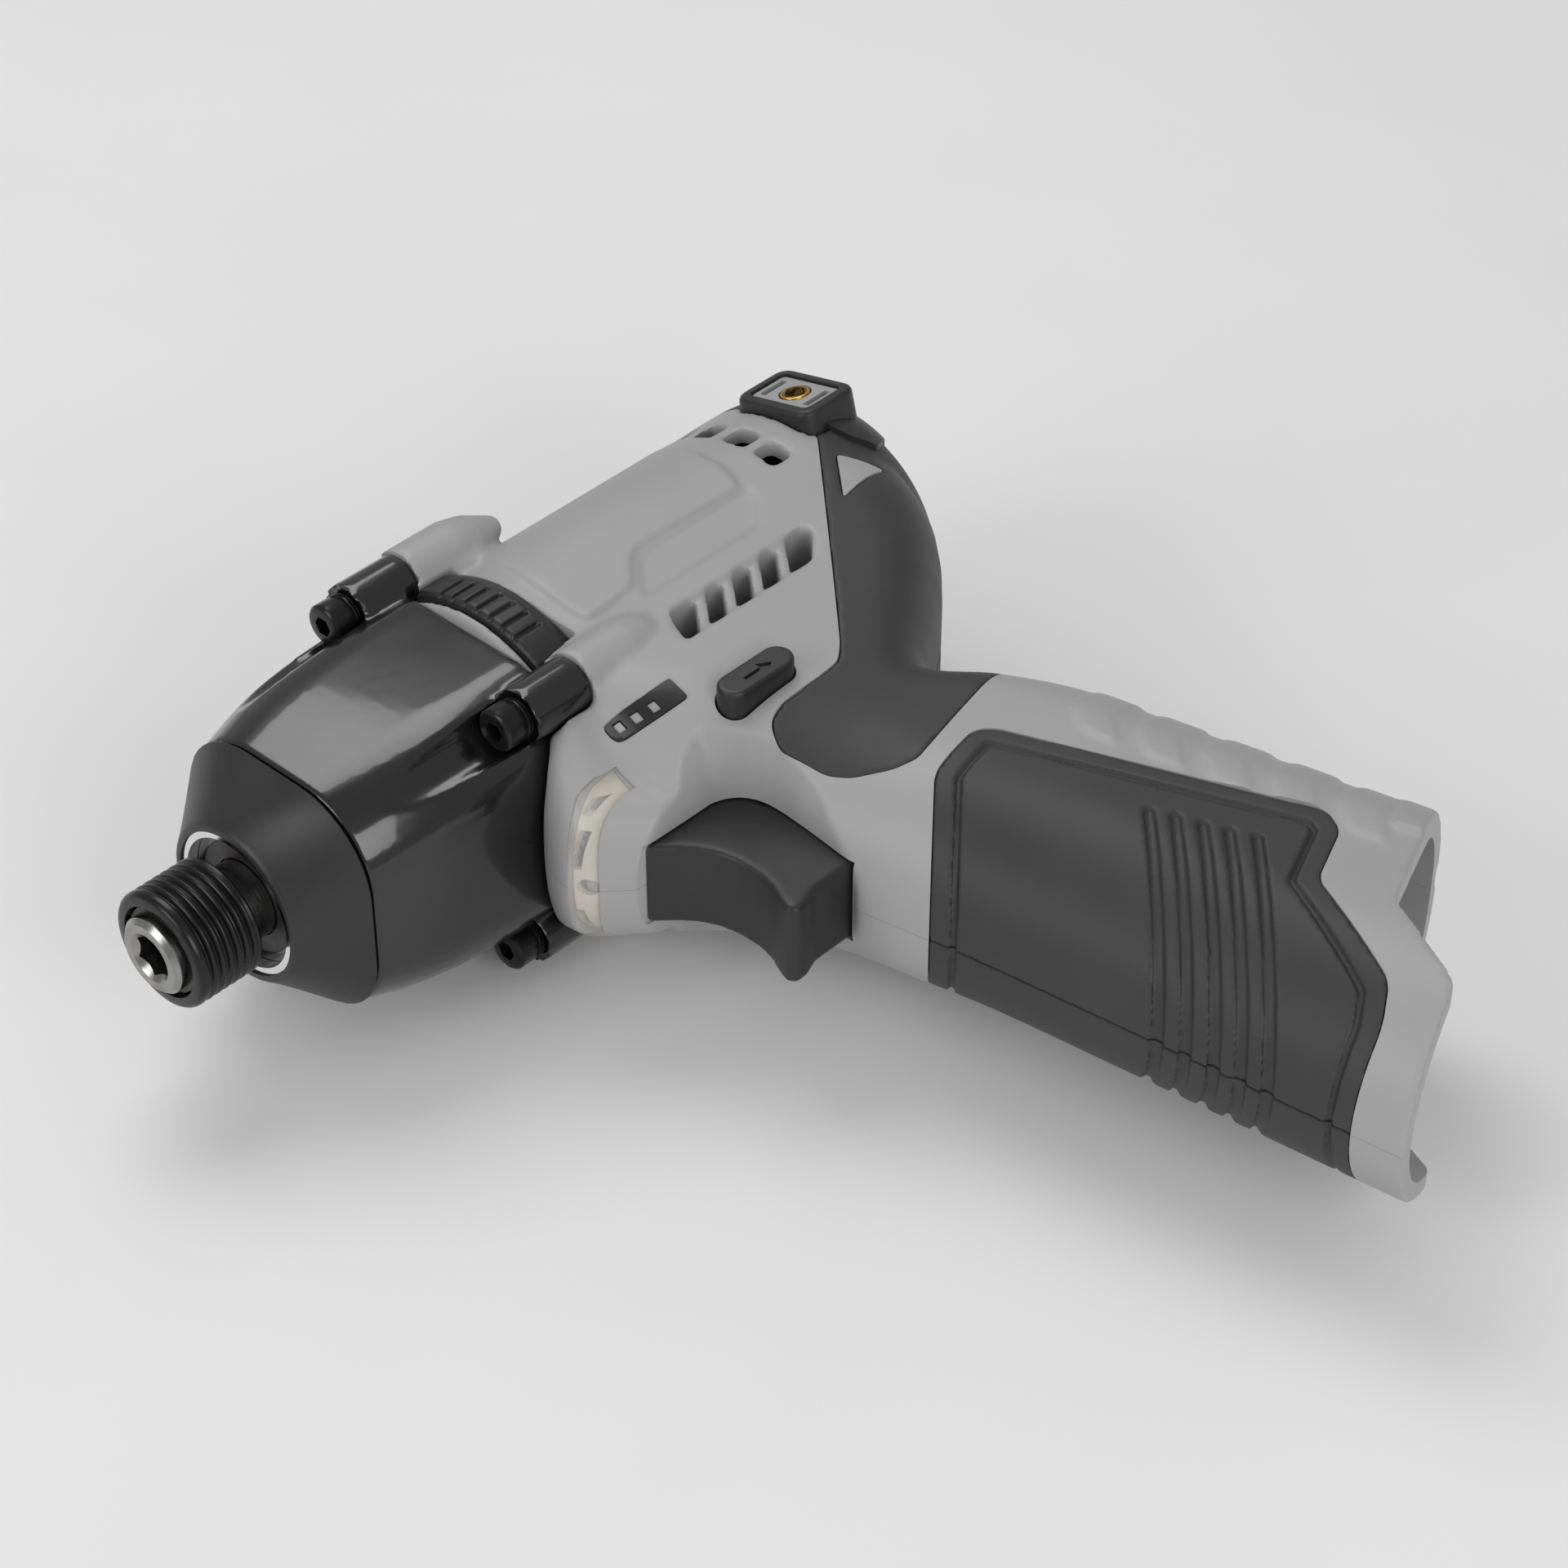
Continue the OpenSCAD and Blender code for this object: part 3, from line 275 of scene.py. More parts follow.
# %% Bench tools
def pick(*pieces):
    """Selects these pieces and nothing else."""
    if bpy.context.mode != "OBJECT":
        bpy.ops.object.mode_set(mode="OBJECT")
    bpy.ops.object.select_all(action="DESELECT")
    for piece in pieces:
        piece.select_set(True)
    bpy.context.view_layer.objects.active = pieces[0]


def open_up(piece):
    """Goes into edit mode with the whole mesh selected."""
    pick(piece)
    bpy.ops.object.mode_set(mode="EDIT")
    bpy.ops.mesh.select_all(action="SELECT")


def trace(name, corners):
    """Draws one face through corners in millimetres, one extruded point after another."""
    bpy.ops.object.select_all(action="DESELECT")
    bpy.ops.mesh.primitive_plane_add(size=MM)
    piece = bpy.context.object
    piece.name = name
    open_up(piece)
    bpy.ops.mesh.merge(type="CENTER")
    bpy.ops.transform.translate(value=Vector(corners[0]) * MM)
    for here, there in zip(corners, corners[1:]):
        step = (Vector(there) - Vector(here)) * MM
        bpy.ops.mesh.extrude_vertices_move(TRANSFORM_OT_translate={"value": step})
    bpy.ops.mesh.select_all(action="SELECT")
    bpy.ops.mesh.edge_face_add()
    bpy.ops.object.mode_set(mode="OBJECT")
    return piece


def prism(name, outline, low, high, rounding=0.0, along="Z"):
    """Pulls an outline up from low to high. Its corners can be rounded first."""
    place = (lambda a, b: (a, b, low)) if along == "Z" else (lambda a, b: (low, a, b))
    piece = trace(name, [place(a, b) for a, b in outline])
    open_up(piece)
    if rounding:
        bpy.ops.mesh.bevel(offset=rounding * MM, segments=5, affect="VERTICES", clamp_overlap=True)
        bpy.ops.mesh.select_all(action="SELECT")
    rise = (high - low) * MM
    bpy.ops.mesh.extrude_region_move(TRANSFORM_OT_translate={"value": (0, 0, rise) if along == "Z" else (rise, 0, 0)})
    bpy.ops.mesh.select_all(action="SELECT")
    bpy.ops.mesh.normals_make_consistent(inside=False)
    bpy.ops.object.mode_set(mode="OBJECT")
    return piece


def lathe(name, profile, steps=96):
    """Turns a profile of places along the spindle and radii about the spindle."""
    piece = trace(name, [(x, r, 0) for x, r in profile])
    open_up(piece)
    bpy.ops.mesh.delete(type="ONLY_FACE")
    bpy.ops.mesh.select_all(action="SELECT")
    bpy.ops.mesh.spin(steps=steps, angle=math.tau, center=(0, 0, 0), axis=(1, 0, 0))
    bpy.ops.mesh.select_all(action="SELECT")
    bpy.ops.mesh.remove_doubles(threshold=0.002 * MM)
    bpy.ops.mesh.delete_loose(use_verts=True, use_edges=True, use_faces=False)
    bpy.ops.mesh.select_all(action="SELECT")
    bpy.ops.mesh.normals_make_consistent(inside=False)
    bpy.ops.object.mode_set(mode="OBJECT")
    return piece


def loft(name, sections):
    """Stretches a skin over a row of outlines that have equally many corners."""
    rings = [trace(name, corners) for corners in sections]
    pick(*rings)
    bpy.ops.object.join()
    piece = rings[0]
    open_up(piece)
    bpy.ops.mesh.delete(type="ONLY_FACE")
    bpy.ops.mesh.select_all(action="SELECT")
    bpy.ops.mesh.bridge_edge_loops(type="SINGLE")
    bpy.ops.mesh.select_all(action="SELECT")
    bpy.ops.mesh.fill_holes(sides=0)
    bpy.ops.mesh.select_all(action="SELECT")
    bpy.ops.mesh.normals_make_consistent(inside=False)
    bpy.ops.object.mode_set(mode="OBJECT")
    return piece


def carve(piece, tool, how="DIFFERENCE", keep=False):
    """Cuts a piece with a tool, joins the two, or keeps what they share."""
    pick(piece)
    change = piece.modifiers.new("carve", "BOOLEAN")
    change.operation, change.solver, change.object = how, "MANIFOLD", tool
    bpy.ops.object.modifier_apply(modifier="carve")
    if not keep:
        bpy.data.objects.remove(tool)
    return piece


def soften(piece, voxel, rounds):
    """Gives a piece an even skin and rubs its edges round."""
    pick(piece)
    skin = piece.modifiers.new("skin", "REMESH")
    skin.mode, skin.voxel_size = "VOXEL", voxel * MM
    bpy.ops.object.modifier_apply(modifier="skin")
    rub = piece.modifiers.new("rub", "SMOOTH")
    rub.factor, rub.iterations = 0.5, rounds
    bpy.ops.object.modifier_apply(modifier="rub")
    return piece


def copy_of(piece):
    """Copies a piece with a mesh of its own."""
    pick(piece)
    bpy.ops.object.duplicate()
    return bpy.context.object


def sunk(piece, depth):
    """Copies a piece with its whole skin moved in by a depth in millimetres."""
    made = copy_of(piece)
    move = made.modifiers.new("sink", "DISPLACE")
    move.strength, move.mid_level = -depth * MM, 0
    bpy.ops.object.modifier_apply(modifier="sink")
    return made


def other_side(piece):
    """Copies a piece to the other side of the middle plane."""
    made = copy_of(piece)
    open_up(made)
    bpy.ops.transform.resize(value=(1, 1, -1), center_override=(0, 0, 0))
    bpy.ops.mesh.flip_normals()
    bpy.ops.object.mode_set(mode="OBJECT")
    return made


def rounded_box(low, high, radius, count=8):
    """Corners of a rectangle with round corners, each drawn in so many steps."""
    right, left, top, bottom = high[0] - radius, low[0] + radius, high[1] - radius, low[1] + radius
    corners = []
    for quarter, (a, b) in enumerate([(right, top), (left, top), (left, bottom), (right, bottom)]):
        for k in range(count + 1):
            turn = math.radians(90 * (quarter + k / count))
            corners.append((a + radius * math.cos(turn), b + radius * math.sin(turn)))
    return corners


def flowing(rows, step):
    """Fills in rows of numbers between the given ones, along a smooth curve."""
    filled = []
    for i in range(len(rows) - 1):
        a, b, c, d = rows[max(i - 1, 0)], rows[i], rows[i + 1], rows[min(i + 2, len(rows) - 1)]
        cuts = max(1, round(abs(c[0] - b[0]) / step))
        for t in (k / cuts for k in range(cuts)):
            filled.append([(2 * q + (r - p) * t + (2 * p - 5 * q + 4 * r - s) * t ** 2
                            + (3 * q - p - 3 * r + s) * t ** 3) / 2 for p, q, r, s in zip(a, b, c, d)])
    return filled + [list(rows[-1])]


print("bench tools ready")

# %% [markdown]
# The housing starts as three plain bodies: a barrel turned on the spindle, a trunk that runs down from it into the
# grip, and the prow in front of the trigger. The trunk is a skin over outlines, each a rectangle with round corners,
# so the neck behind the trigger flows in and out again in one curve. Joined and softened, they become one moulding
# whose corners are filled the way the real ones are.

# %% Body form
CASE_SEAM = -66
BARREL_R = 25.6
dome = [(-140 - 16 * math.sin(math.radians(a)), 9 + 16.6 * math.cos(math.radians(a))) for a in range(0, 91, 9)]
body = lathe("body", [(CASE_SEAM, 0), (CASE_SEAM, BARREL_R)] + dome + [(-156, 0)])


def trunk_outline(y, front, back, half, nose, square, rb):
    """One outline across the trunk: round corners behind, and a front that draws in over the length of its nose."""
    quarter = [math.radians(90 * k / 16) for k in range(17)]
    bow = [(front - nose + nose * math.cos(t) ** (2 / square), half * math.sin(t) ** (2 / square)) for t in quarter]
    heel = [(back + rb - rb * math.sin(t), half - rb + rb * math.cos(t)) for t in quarter]
    side = bow + heel
    return [(x, y, z) for x, z in side] + [(x, y, -z) for x, z in reversed(side) if z > 0.001]


# Each row: height, front, back, half width, nose length, squareness, heel radius
trunk_rows = [(2, -66, -155, 25.2, 14, 6, 17), (16, -66, -150.5, 25.0, 15, 5, 17), (26, -66, -145, 24.5, 18, 4.2, 16),
              (36, -66, -135, 23.6, 26, 3, 15), (44, -67.5, -123, 22.2, 30, 2.7, 13),
              (51.5, -72.5, -115.2, 20.9, 28, 2.6, 11), (60, -77, -123.5, 20.2, 24, 2.4, 12.5),
              (72, -79.4, -131, 20.3, 21, 2.1, 15), (88, -82.2, -135.5, 20.5, 22, 2, 17),
              (110, -85.2, -140.4, 20.7, 22.5, 2, 17.5), (136, -88.6, -146, 20.9, 23, 2, 18),
              (163, -92.2, -152, 21.2, 23.5, 2, 18.5)]
trunk = loft("trunk", [trunk_outline(*row) for row in flowing(trunk_rows, 4)])

# Each row: height, front, half width, nose length
prow_rows = [(20, -60, 23, 8), (24, -57.2, 20.5, 8), (26, -55.9, 18.9, 8.5), (29, -54.3, 16.8, 9.8),
             (34, -52.7, 14, 11), (38, -56, 13, 10), (41.4, -59.6, 12.6, 9.5), (45, -63.5, 12.3, 9),
             (48, -67, 12.2, 9)]


def prow_form(depth=0.0):
    """The prow, or the same form drawn in by a depth."""
    rows = [(y, front - depth, -86, half - depth, nose, 2.4, 8) for y, front, half, nose in prow_rows]
    return loft("prow", [trunk_outline(*row) for row in flowing(rows, 2)])


carve(body, trunk, "UNION")
carve(body, prow_form(), "UNION")
carve(body, prism("case_seat", rounded_box((-24, -24), (24, 24), 14), CASE_SEAM, -30, along="X"))
soften(body, 0.7, 10)
print("body form", len(body.data.vertices), "points")

# %% [markdown]
# Soft covers lie flush in shallow pockets of the housing. Each pocket and the cover that fills it come from one zone,
# drawn on the side of the tool: the pocket is the zone less the body moved in by the cover's thickness, and the cover
# is the rest, a tenth of a millimetre smaller all round, so that a thin dark seam shows between the two.


# %% Zones of the covers
def inset(outline, depth):
    """The same outline drawn in by a depth, or out where the depth is negative."""
    points = [Vector(p[:2]) for p in outline]
    turn = sum(a.cross(b) for a, b in zip(points, points[1:] + points[:1]))
    made = []
    for before, here, after in zip(points[-1:] + points[:-1], points, points[1:] + points[:1]):
        a, b = (here - before).normalized(), (after - here).normalized()
        inward = Vector((-a.y - b.y, a.x + b.x)) * (1 if turn > 0 else -1)
        made.append(tuple(here + inward * (depth / max(0.3, 1 + a.dot(b)))))
    return made


FAR = 60
SEAM_GAP = 0.1
COVER_DEPTH = 1.6
COVER_MIDDLE = 0.02
PALM_HALF = 15.4
rear_outline = [(-170, -45), (-139, -45), (-139, 5), (-103.6, 42.4), (-100.6, 44.7), (-96, 45.1), (-87.6, 45.1),
                (-84.6, 45.9), (-83, 47.6), (-82.4, 49.6), (-82.8, 52.5), (-84, 57.8), (-86, 61.2), (-90.2, 65.5),
                (-93.6, 67.2), (-98, 66.5), (-106, 64.7), (-116, 62.6), (-130, 60), (-170, 58)]
palm_outline = [(-170, 50), (-105, 50), (-105, 124), (-136, 124), (-170, 116)]
grip_outline = [(-93, 71), (-103.6, 69.2), (-106.2, 71.2), (-124.2, 119.5), (-121.8, 123.8), (-111, 128),
                (-102.6, 147), (-97.5, 150), (-86, 152), (-60, 154), (-60, 84), (-77.5, 84)]
mark_outline = [(-137.6, 10.6), (-142, 16.8), (-129.8, 19.2)]
arch_outline = [(-20, 38.6), (-56, 41), (-60, 41.8), (-63, 42.1), (-70, 42.2), (-75.5, 42.2), (-77.6, 43),
                (-79.4, 44.4), (-80.6, 46.4), (-81.1, 49), (-81.1, 52), (-80.6, 58), (-79.9, 64), (-79.5, 68),
                (-76, 70.6), (-20, 104)]
gauge_outline = [(-67.6, 27.3), (-69.4, 28.5), (-71.3, 29.4), (-73.4, 30.1), (-75.8, 30.5), (-78.3, 30.8),
                 (-78.1, 34.9), (-75.7, 34.5), (-73.5, 33.9), (-71.5, 33.1), (-69.7, 32.1), (-68.2, 30.8),
                 (-67.6, 29.4)]
selector_slot = rounded_box((-94.8, 37.3), (-79.6, 43.2), 2.94)


def rear_zone(gap, low=-FAR):
    """Everything that the rear covers reach, from the dome down the neck and the palm side of the grip."""
    made = prism("rear_zone", inset(rear_outline, gap), low, FAR, 2.4)
    palm = prism("palm_zone", inset(palm_outline, gap), max(low, gap - PALM_HALF), PALM_HALF - gap, 4)
    carve(made, palm, "UNION")
    return carve(made, prism("mark", inset(mark_outline, -gap), -FAR, FAR, 0.7))


def grip_zone(gap, low=-FAR):
    """Everything that the grip covers reach."""
    return prism("grip_zone", inset(grip_outline, gap), low, FAR, 2.2)


under = sunk(body, COVER_DEPTH)
print("zones drawn")

# %% [markdown]
# The trigger's arch is cut through the body with edges that open outwards, like the mouth of a bell, because the real
# edge is rounded enough for a finger to slide over. It is a loft again: the same outline, drawn out a little more at
# each step towards the side. Near the selector it opens least, so that a wall is left under the selector's slot.

# %% Arch of the trigger
flare = [(0, 0), (9.2, 0), (11, 0.3), (13, 0.9), (15, 1.8), (17, 3), (19, 4.5), (21, 6.2), (23, 8.2), (26, 11.5)]
opening = [1, 1, 1, 1, 1, 0.6, 0.25, 0.12, 0.2, 0.35, 0.45, 0.8, 1, 1, 1, 1]
steps = [(-z, d) for z, d in reversed(flare[1:])] + flare


def opened(width):
    """The arch's outline drawn out by a width, each corner by its own share."""
    wide = inset(arch_outline, -width)
    return [Vector(a).lerp(Vector(b), share) for a, b, share in zip(arch_outline, wide, opening)]


arch = loft("arch", [[(*corner, z) for corner in opened(width)] for z, width in steps])
print("arch", len(arch.data.polygons), "faces")

# %% [markdown]
# One half of the housing is enough, because the two are alike but for the charge gauge and the screw holes. The half
# is cut with some spare beyond the middle plane, so that softening doesn't round the parting edge. All outside
# features go on before the softening and all hollows come after it: the outside is moulded, the hollows are hidden.

# %% Outside of one housing half
SPARE = 3
HALF_MIDDLE = 0.03
side_view = [(-170, -60), (-30, -60), (-30, 180), (-170, 180)]
half = copy_of(body)
carve(half, prism("near_side", side_view, -SPARE, FAR), "INTERSECT")
carve(half, arch, keep=True)
rim_outline = [(-170, 118), (-139, 129), (-130, 133), (-115, 138.6), (-107.5, 154.6), (-91, 159.8), (-60, 166),
               (-60, 200), (-170, 200)]
carve(half, prism("rim", rim_outline, -FAR, FAR, 1.4))

proud = sunk(body, -0.8)
panel_outline = [(-80.6, -14.4), (-122.6, -14.4), (-120.9, 3.4), (-119.6, 5.8), (-98, 5.2), (-94.8, 6.2),
                 (-89.4, 11.8), (-78.6, 12.8)]
pocket_outline = [(-121.4, 6.6), (-120.6, 9), (-114.6, 15), (-89.4, 15.2), (-90, 13.2), (-95.4, 7.6), (-99, 6.6)]
lip_outline = [(-165, 118.4), (-136, 124.6), (-128, 128.6), (-129, 133.2), (-139, 129), (-165, 119.6)]
block_pitch = 10.7
block_outline = [(-118.4, 76.2, 2.4), (-136, 74, 2.4), (-138, 80, 2.4), (-119.8, 82.4, 2.4), (-115.6, 87.4, 2.1),
                 (-114.6, 81.4, 2.1)]
blocks = [[(x - lean * k, y + block_pitch * k) for x, y, lean in block_outline] for k in range(5)]


def raised(height_form, outline, low, rounding):
    """A plateau on the body: what an outline and a proud copy of the body share."""
    return carve(prism("raised", outline, low, FAR, rounding), height_form, "INTERSECT", keep=True)


carve(half, raised(proud, panel_outline, 10, 1.8), "UNION")
carve(half, carve(prism("pocket", pocket_outline, 10, FAR, 1.2), sunk(body, 0.4)))
low_proud = sunk(body, -0.45)
for outline in blocks:
    carve(half, raised(low_proud, outline, 15.6, 1.0), "UNION")
carve(half, raised(proud, lip_outline, 2, 0.6), "UNION")
print("outside of a half", len(half.data.polygons), "faces")

# %% [markdown]
# Screw lugs come next. Each boss runs out into the barrel as a cone, and a thicker post deeper in the wall makes the
# corner between them shallow, so that softening can fill it. The vents are cut as one opening, and then the ribs are
# set back in, a little below the surface as they are on the tool.

# %% Bosses, vents and seats
LUGS = [(18.89, 21.74), (-18.89, 21.74)]
LUG_R = 4.7
LUG_END = -69.5
LUG_PLAY = 0.25


def turned_at(name, profile, y, z, steps=48):
    """A turned shape on an axis that is parallel to the spindle."""
    made = lathe(name, profile, steps)
    open_up(made)
    bpy.ops.transform.translate(value=(0, y * MM, z * MM))
    bpy.ops.object.mode_set(mode="OBJECT")
    return made


for y, z in LUGS:
    boss = [(LUG_END + 0.2, 0), (LUG_END + 0.2, 5.2), (-80, 5.2), (-84, 4.4), (-90, 1.6), (-90, 0)]
    carve(half, turned_at("boss", boss, y, z), "UNION")
    root = [(-68.4, 0), (-68.4, 5.6), (-82, 5.6), (-88, 2), (-88, 0)]
    carve(half, turned_at("root", root, y * 0.86, z * 0.86), "UNION")
    room_r, room_end = LUG_R + LUG_PLAY, LUG_END - 0.2
    carve(half, turned_at("lug_room", [(-50, 0), (-50, room_r), (room_end, room_r), (room_end, 0)], y, z))

vent_outline = [(-86.6, 26.4), (-89.3, 19.8), (-120, 19.6), (-119.8, 21.6), (-114.6, 26.4)]
carve(half, prism("vent", vent_outline, 14, FAR, 1.0))
rib_top = sunk(body, 0.7)
rib_pitch = 6
for k in range(4):
    rib = [(x - rib_pitch * k, y) for x, y in ((-88.8, 27.4), (-91.2, 27.4), (-98.4, 18.8), (-96, 18.8))]
    carve(half, carve(prism("rib", rib, 18, FAR), rib_top, "INTERSECT", keep=True), "UNION")
for low, high in ((-18.6, -14.6), (-12.6, -8.4), (-6.2, -1.4), (0.6, 5.4)):
    carve(half, prism("outlet", rounded_box((-132.8, low), (-128.2, high), 0.8, 3), 10, FAR))

PAD_HALF = 13.5


def pad_width(gap):
    """The reach of a side pad round the barrel."""
    half_width = PAD_HALF + gap
    return prism("pad_width", [(-60, -half_width), (-60, half_width), (-90, half_width), (-90, -half_width)], 5, FAR)


pad_seat = lathe("pad_seat", [(-67.5, 24.1), (-67.5, 40), (-75.9, 40), (-75.9, 24.1)])
carve(half, carve(pad_seat, pad_width(0.2), "INTERSECT"))
print("features on a half", len(half.data.polygons), "faces")

# %% [markdown]
# The belt clip's seat leans with the side of the dome. It is drawn flat at the origin and then laid in place with one
# turn and one move, which are applied at once, so the finished piece sits at the origin like every other.


# %% Seat of the belt clip
def laid(piece, turn=14, at=(-144.2, -4, 23.6)):
    """Turns a piece about the spindle's direction and moves it to its place."""
    pick(piece)
    piece.matrix_world = Matrix.Translation(Vector(at) * MM) @ Matrix.Rotation(math.radians(turn), 4, "X")
    bpy.ops.object.transform_apply(location=True, rotation=True, scale=True)
    return piece


def pillow(name, outline, low, high, edge, both=False):
    """A slab whose upper edge is round, or both its edges."""
    turns = [math.radians(a) for a in (0, 22, 45, 67, 90)]
    upper = [(high - edge + edge * math.sin(t), edge * (1 - math.cos(t))) for t in turns]
    lower = [(low, 0)]
    if both:
        lower = [(low + edge - edge * math.sin(t), edge * (1 - math.cos(t))) for t in reversed(turns)]
    return loft(name, [[(x, y, z) for x, y in inset(outline, d)] for z, d in lower + upper])


def block(length, width, radius):
    """A rectangle with round corners about the origin."""
    return rounded_box((-length / 2, -width / 2), (length / 2, width / 2), radius, 4)


carve(half, laid(prism("clip_room", block(12.6, 17.2, 2.7), -6.1, 20)))
soften(half, 0.55, 6)
for pocket in (rear_zone(0), grip_zone(0)):
    carve(half, carve(pocket, under, keep=True))
print("softened half", len(half.data.polygons), "faces")

# %% [markdown]
# The hollows are plain shapes with sharp edges: the motor's bore, the rooms of the switch and the boards, and the bay
# for the battery, which is the grip's own outline drawn in by the thickness of the wall.

# %% Hollows of the housing
TRIGGER_HALF = 7.5
TRIGGER_PLAY = 0.3
LENS_SEAT = 2.4
room_half = TRIGGER_HALF + TRIGGER_PLAY
trigger_room = [(-92, 47.6), (-92, 67.2), (-58, 67.2), (-58, 41.6), (-88.4, 41.6), (-88.4, 47.6)]
lamp_room = prism("lamp_room", [(-66, 32.9), (-66, 38.3), (-40, 38.3), (-40, 32.9)], -30, 30)
hollows = [lathe("bore", [(-60, 0), (-60, 22.8), (-140.7, 22.8), (-140.7, 6.6), (-146.7, 6.6), (-146.7, 0)]),
           prism("trigger_room", trigger_room, -room_half, room_half),
           prism("switch_room", [(-112, 48), (-112, 67.2), (-91.9, 67.2), (-91.9, 48)], -12.1, 12.1),
           prism("board_room", [(-113, 67.1), (-113, 88), (-91, 88), (-91, 67.1)], -13.1, 13.1),
           prism("lead_room", [(-99.2, 18), (-99.2, 48.6), (-93.2, 48.6), (-93.2, 18)], -7, 7),
           carve(prow_form(LENS_SEAT), lamp_room, "INTERSECT"),
           prism("selector_room", selector_slot, -FAR, FAR)]


def lens_zone(gap):
    """The reach of the lens: a band across the prow that sweeps up towards its round ends."""
    reach = 15
    turns = [reach * k / 10 for k in range(-10, 11)]
    shrink = 1 - gap / reach
    upper = [(33.8 + gap - 0.0135 * z * z + 0.3 * max(0, abs(z) - 13.4) ** 2, z * shrink) for z in turns]
    lower = [(37.6 - gap - 0.0095 * z * z, z * shrink) for z in reversed(turns)]
    return prism("lens_zone", upper + lower, -65.4 + gap, -40, along="X")


wall = 3.2
bay_rows = [(y, front - wall, back + wall, width - wall, nose - wall, square, rb - wall)
            for y, front, back, width, nose, square, rb in trunk_rows if y >= 88]
hollows.append(loft("bay", [trunk_outline(*row) for row in flowing(bay_rows, 8)]))
hollows.append(carve(lens_zone(-SEAM_GAP), prow_form(LENS_SEAT)))
for tool in hollows:
    carve(half, tool)
for y, z in LUGS:
    carve(half, turned_at("thread", [(-60, 0), (-60, 2), (-80, 2), (-80, 0)], y, z))
print("hollow half", len(half.data.polygons), "faces")

# %% [markdown]
# The half is trimmed at the middle plane and mirrored. Only then do the two differ: the left one gets the seat of the
# gauge, and the right one the holes for the screw heads. A finished piece is named, smoothed, dressed, and fixed to the
# body that it moves with.

# %% Two halves
finished = []


def put_in(piece, name, slot, body_name, *stands_for, angle=35, listed=True):
    """Names a finished piece, smooths it, dresses it and fixes it to its body."""
    pick(piece)
    piece.name = name
    finished.append(name)
    bpy.ops.object.shade_smooth_by_angle(angle=math.radians(angle))
    wear(piece, slot)
    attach(piece, body_name)
    if stands_for:
        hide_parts(*stands_for)
    print(name, len(piece.data.polygons), "faces")


carve(half, prism("left_of_middle", side_view, HALF_MIDDLE, FAR), "INTERSECT")
right = other_side(half)
gauge_seat = prism("gauge_seat", inset(gauge_outline, -SEAM_GAP), 12, 40, 0.8)
carve(half, carve(gauge_seat, sunk(body, 2.4)))
SCREWS = [(-71, 34.6), (-106, 34), (-87.6, 70.6), (-124, 75)]


def disc(x, y, radius, sides=32):
    """A circle on the side of the tool."""
    turns = [t * math.tau / sides for t in range(sides)]
    return [(x + radius * math.cos(t), y + radius * math.sin(t)) for t in turns]


for x, y in SCREWS:
    carve(right, prism("screw_hole", disc(x, y, 3.2), -40, -11))
    pilot = prism("pilot", disc(x, y, 1.55), -12, 6)
    carve(half, pilot, keep=True)
    carve(right, pilot)
put_in(half, "moulded_housing_left", "grey_plastic", "base", "housing_left")
put_in(right, "moulded_housing_right", "grey_plastic", "base", "housing_right")

# %% [markdown]
# The covers are cut from the same body. The grip cover then gets its pattern: a groove that follows its edge all the
# way round, and five long slots that run down its side and round the front strap. A slot is an upright slit through
# the whole grip, less the body moved in by the slot's depth, so it is equally deep everywhere along its run.

# %% Grip covers
GROOVE_DEPTH = 0.75
SLIT_HALF = 0.85
deep = sunk(body, GROOVE_DEPTH)
inside = sunk(body, COVER_DEPTH - SEAM_GAP)
grip_cover = copy_of(body)
carve(grip_cover, grip_zone(SEAM_GAP, COVER_MIDDLE), "INTERSECT")
carve(grip_cover, arch, keep=True)
border = prism("border", inset(grip_outline, 3.1), -FAR, FAR, 2.4)
carve(border, prism("field", inset(grip_outline, 4.1), -FAR - 1, FAR + 1, 2.4))
carve(border, deep, keep=True)
carve(grip_cover, border)
starts = [(-107.2, 100.0), (-108.8, 103.6), (-110.1, 107.6), (-111.5, 111.4), (-113.1, 115.3)]
ends = [(-87.4, 119.0), (-88.0, 123.6), (-88.7, 128.2), (-89.4, 132.4), (-90.0, 136.8)]
for start, end in zip(starts, ends):
    way = (Vector(end) - Vector(start)).normalized()
    across = Vector((-way.y, way.x)) * SLIT_HALF
    tail = Vector(end) + way * 12
    slit = [tuple(Vector(start) + across), tuple(Vector(start) - across), tuple(tail - across), tuple(tail + across)]
    carve(grip_cover, carve(prism("slit", slit, -FAR, FAR, 0.8), deep, keep=True))
carve(grip_cover, inside, keep=True)
soften(grip_cover, 0.34, 4)
grip_cover_right = other_side(grip_cover)
put_in(grip_cover, "moulded_grip_cover_left", "grip_rubber", "base", "grip_cover_left")
put_in(grip_cover_right, "moulded_grip_cover_right", "grip_rubber", "base", "grip_cover_right")

# %% [markdown]
# The rear covers wrap the dome, run down the neck and end on the palm side of the grip. They are cut in the same way,
# with a gap for the seat of the belt clip and a small bare triangle on each side.

# %% Rear covers
rear_cover = copy_of(body)
carve(rear_cover, rear_zone(SEAM_GAP, COVER_MIDDLE), "INTERSECT")
carve(rear_cover, arch, keep=True)
carve(rear_cover, laid(prism("clip_gap", block(12.7, 17.3, 2.7), -6.1, 20)))
carve(rear_cover, inside, keep=True)
soften(rear_cover, 0.42, 5)
rear_cover_right = other_side(rear_cover)
put_in(rear_cover, "moulded_rear_cover_left", "grip_rubber", "base", "rear_cover_left")
put_in(rear_cover_right, "moulded_rear_cover_right", "grip_rubber", "base", "rear_cover_right")

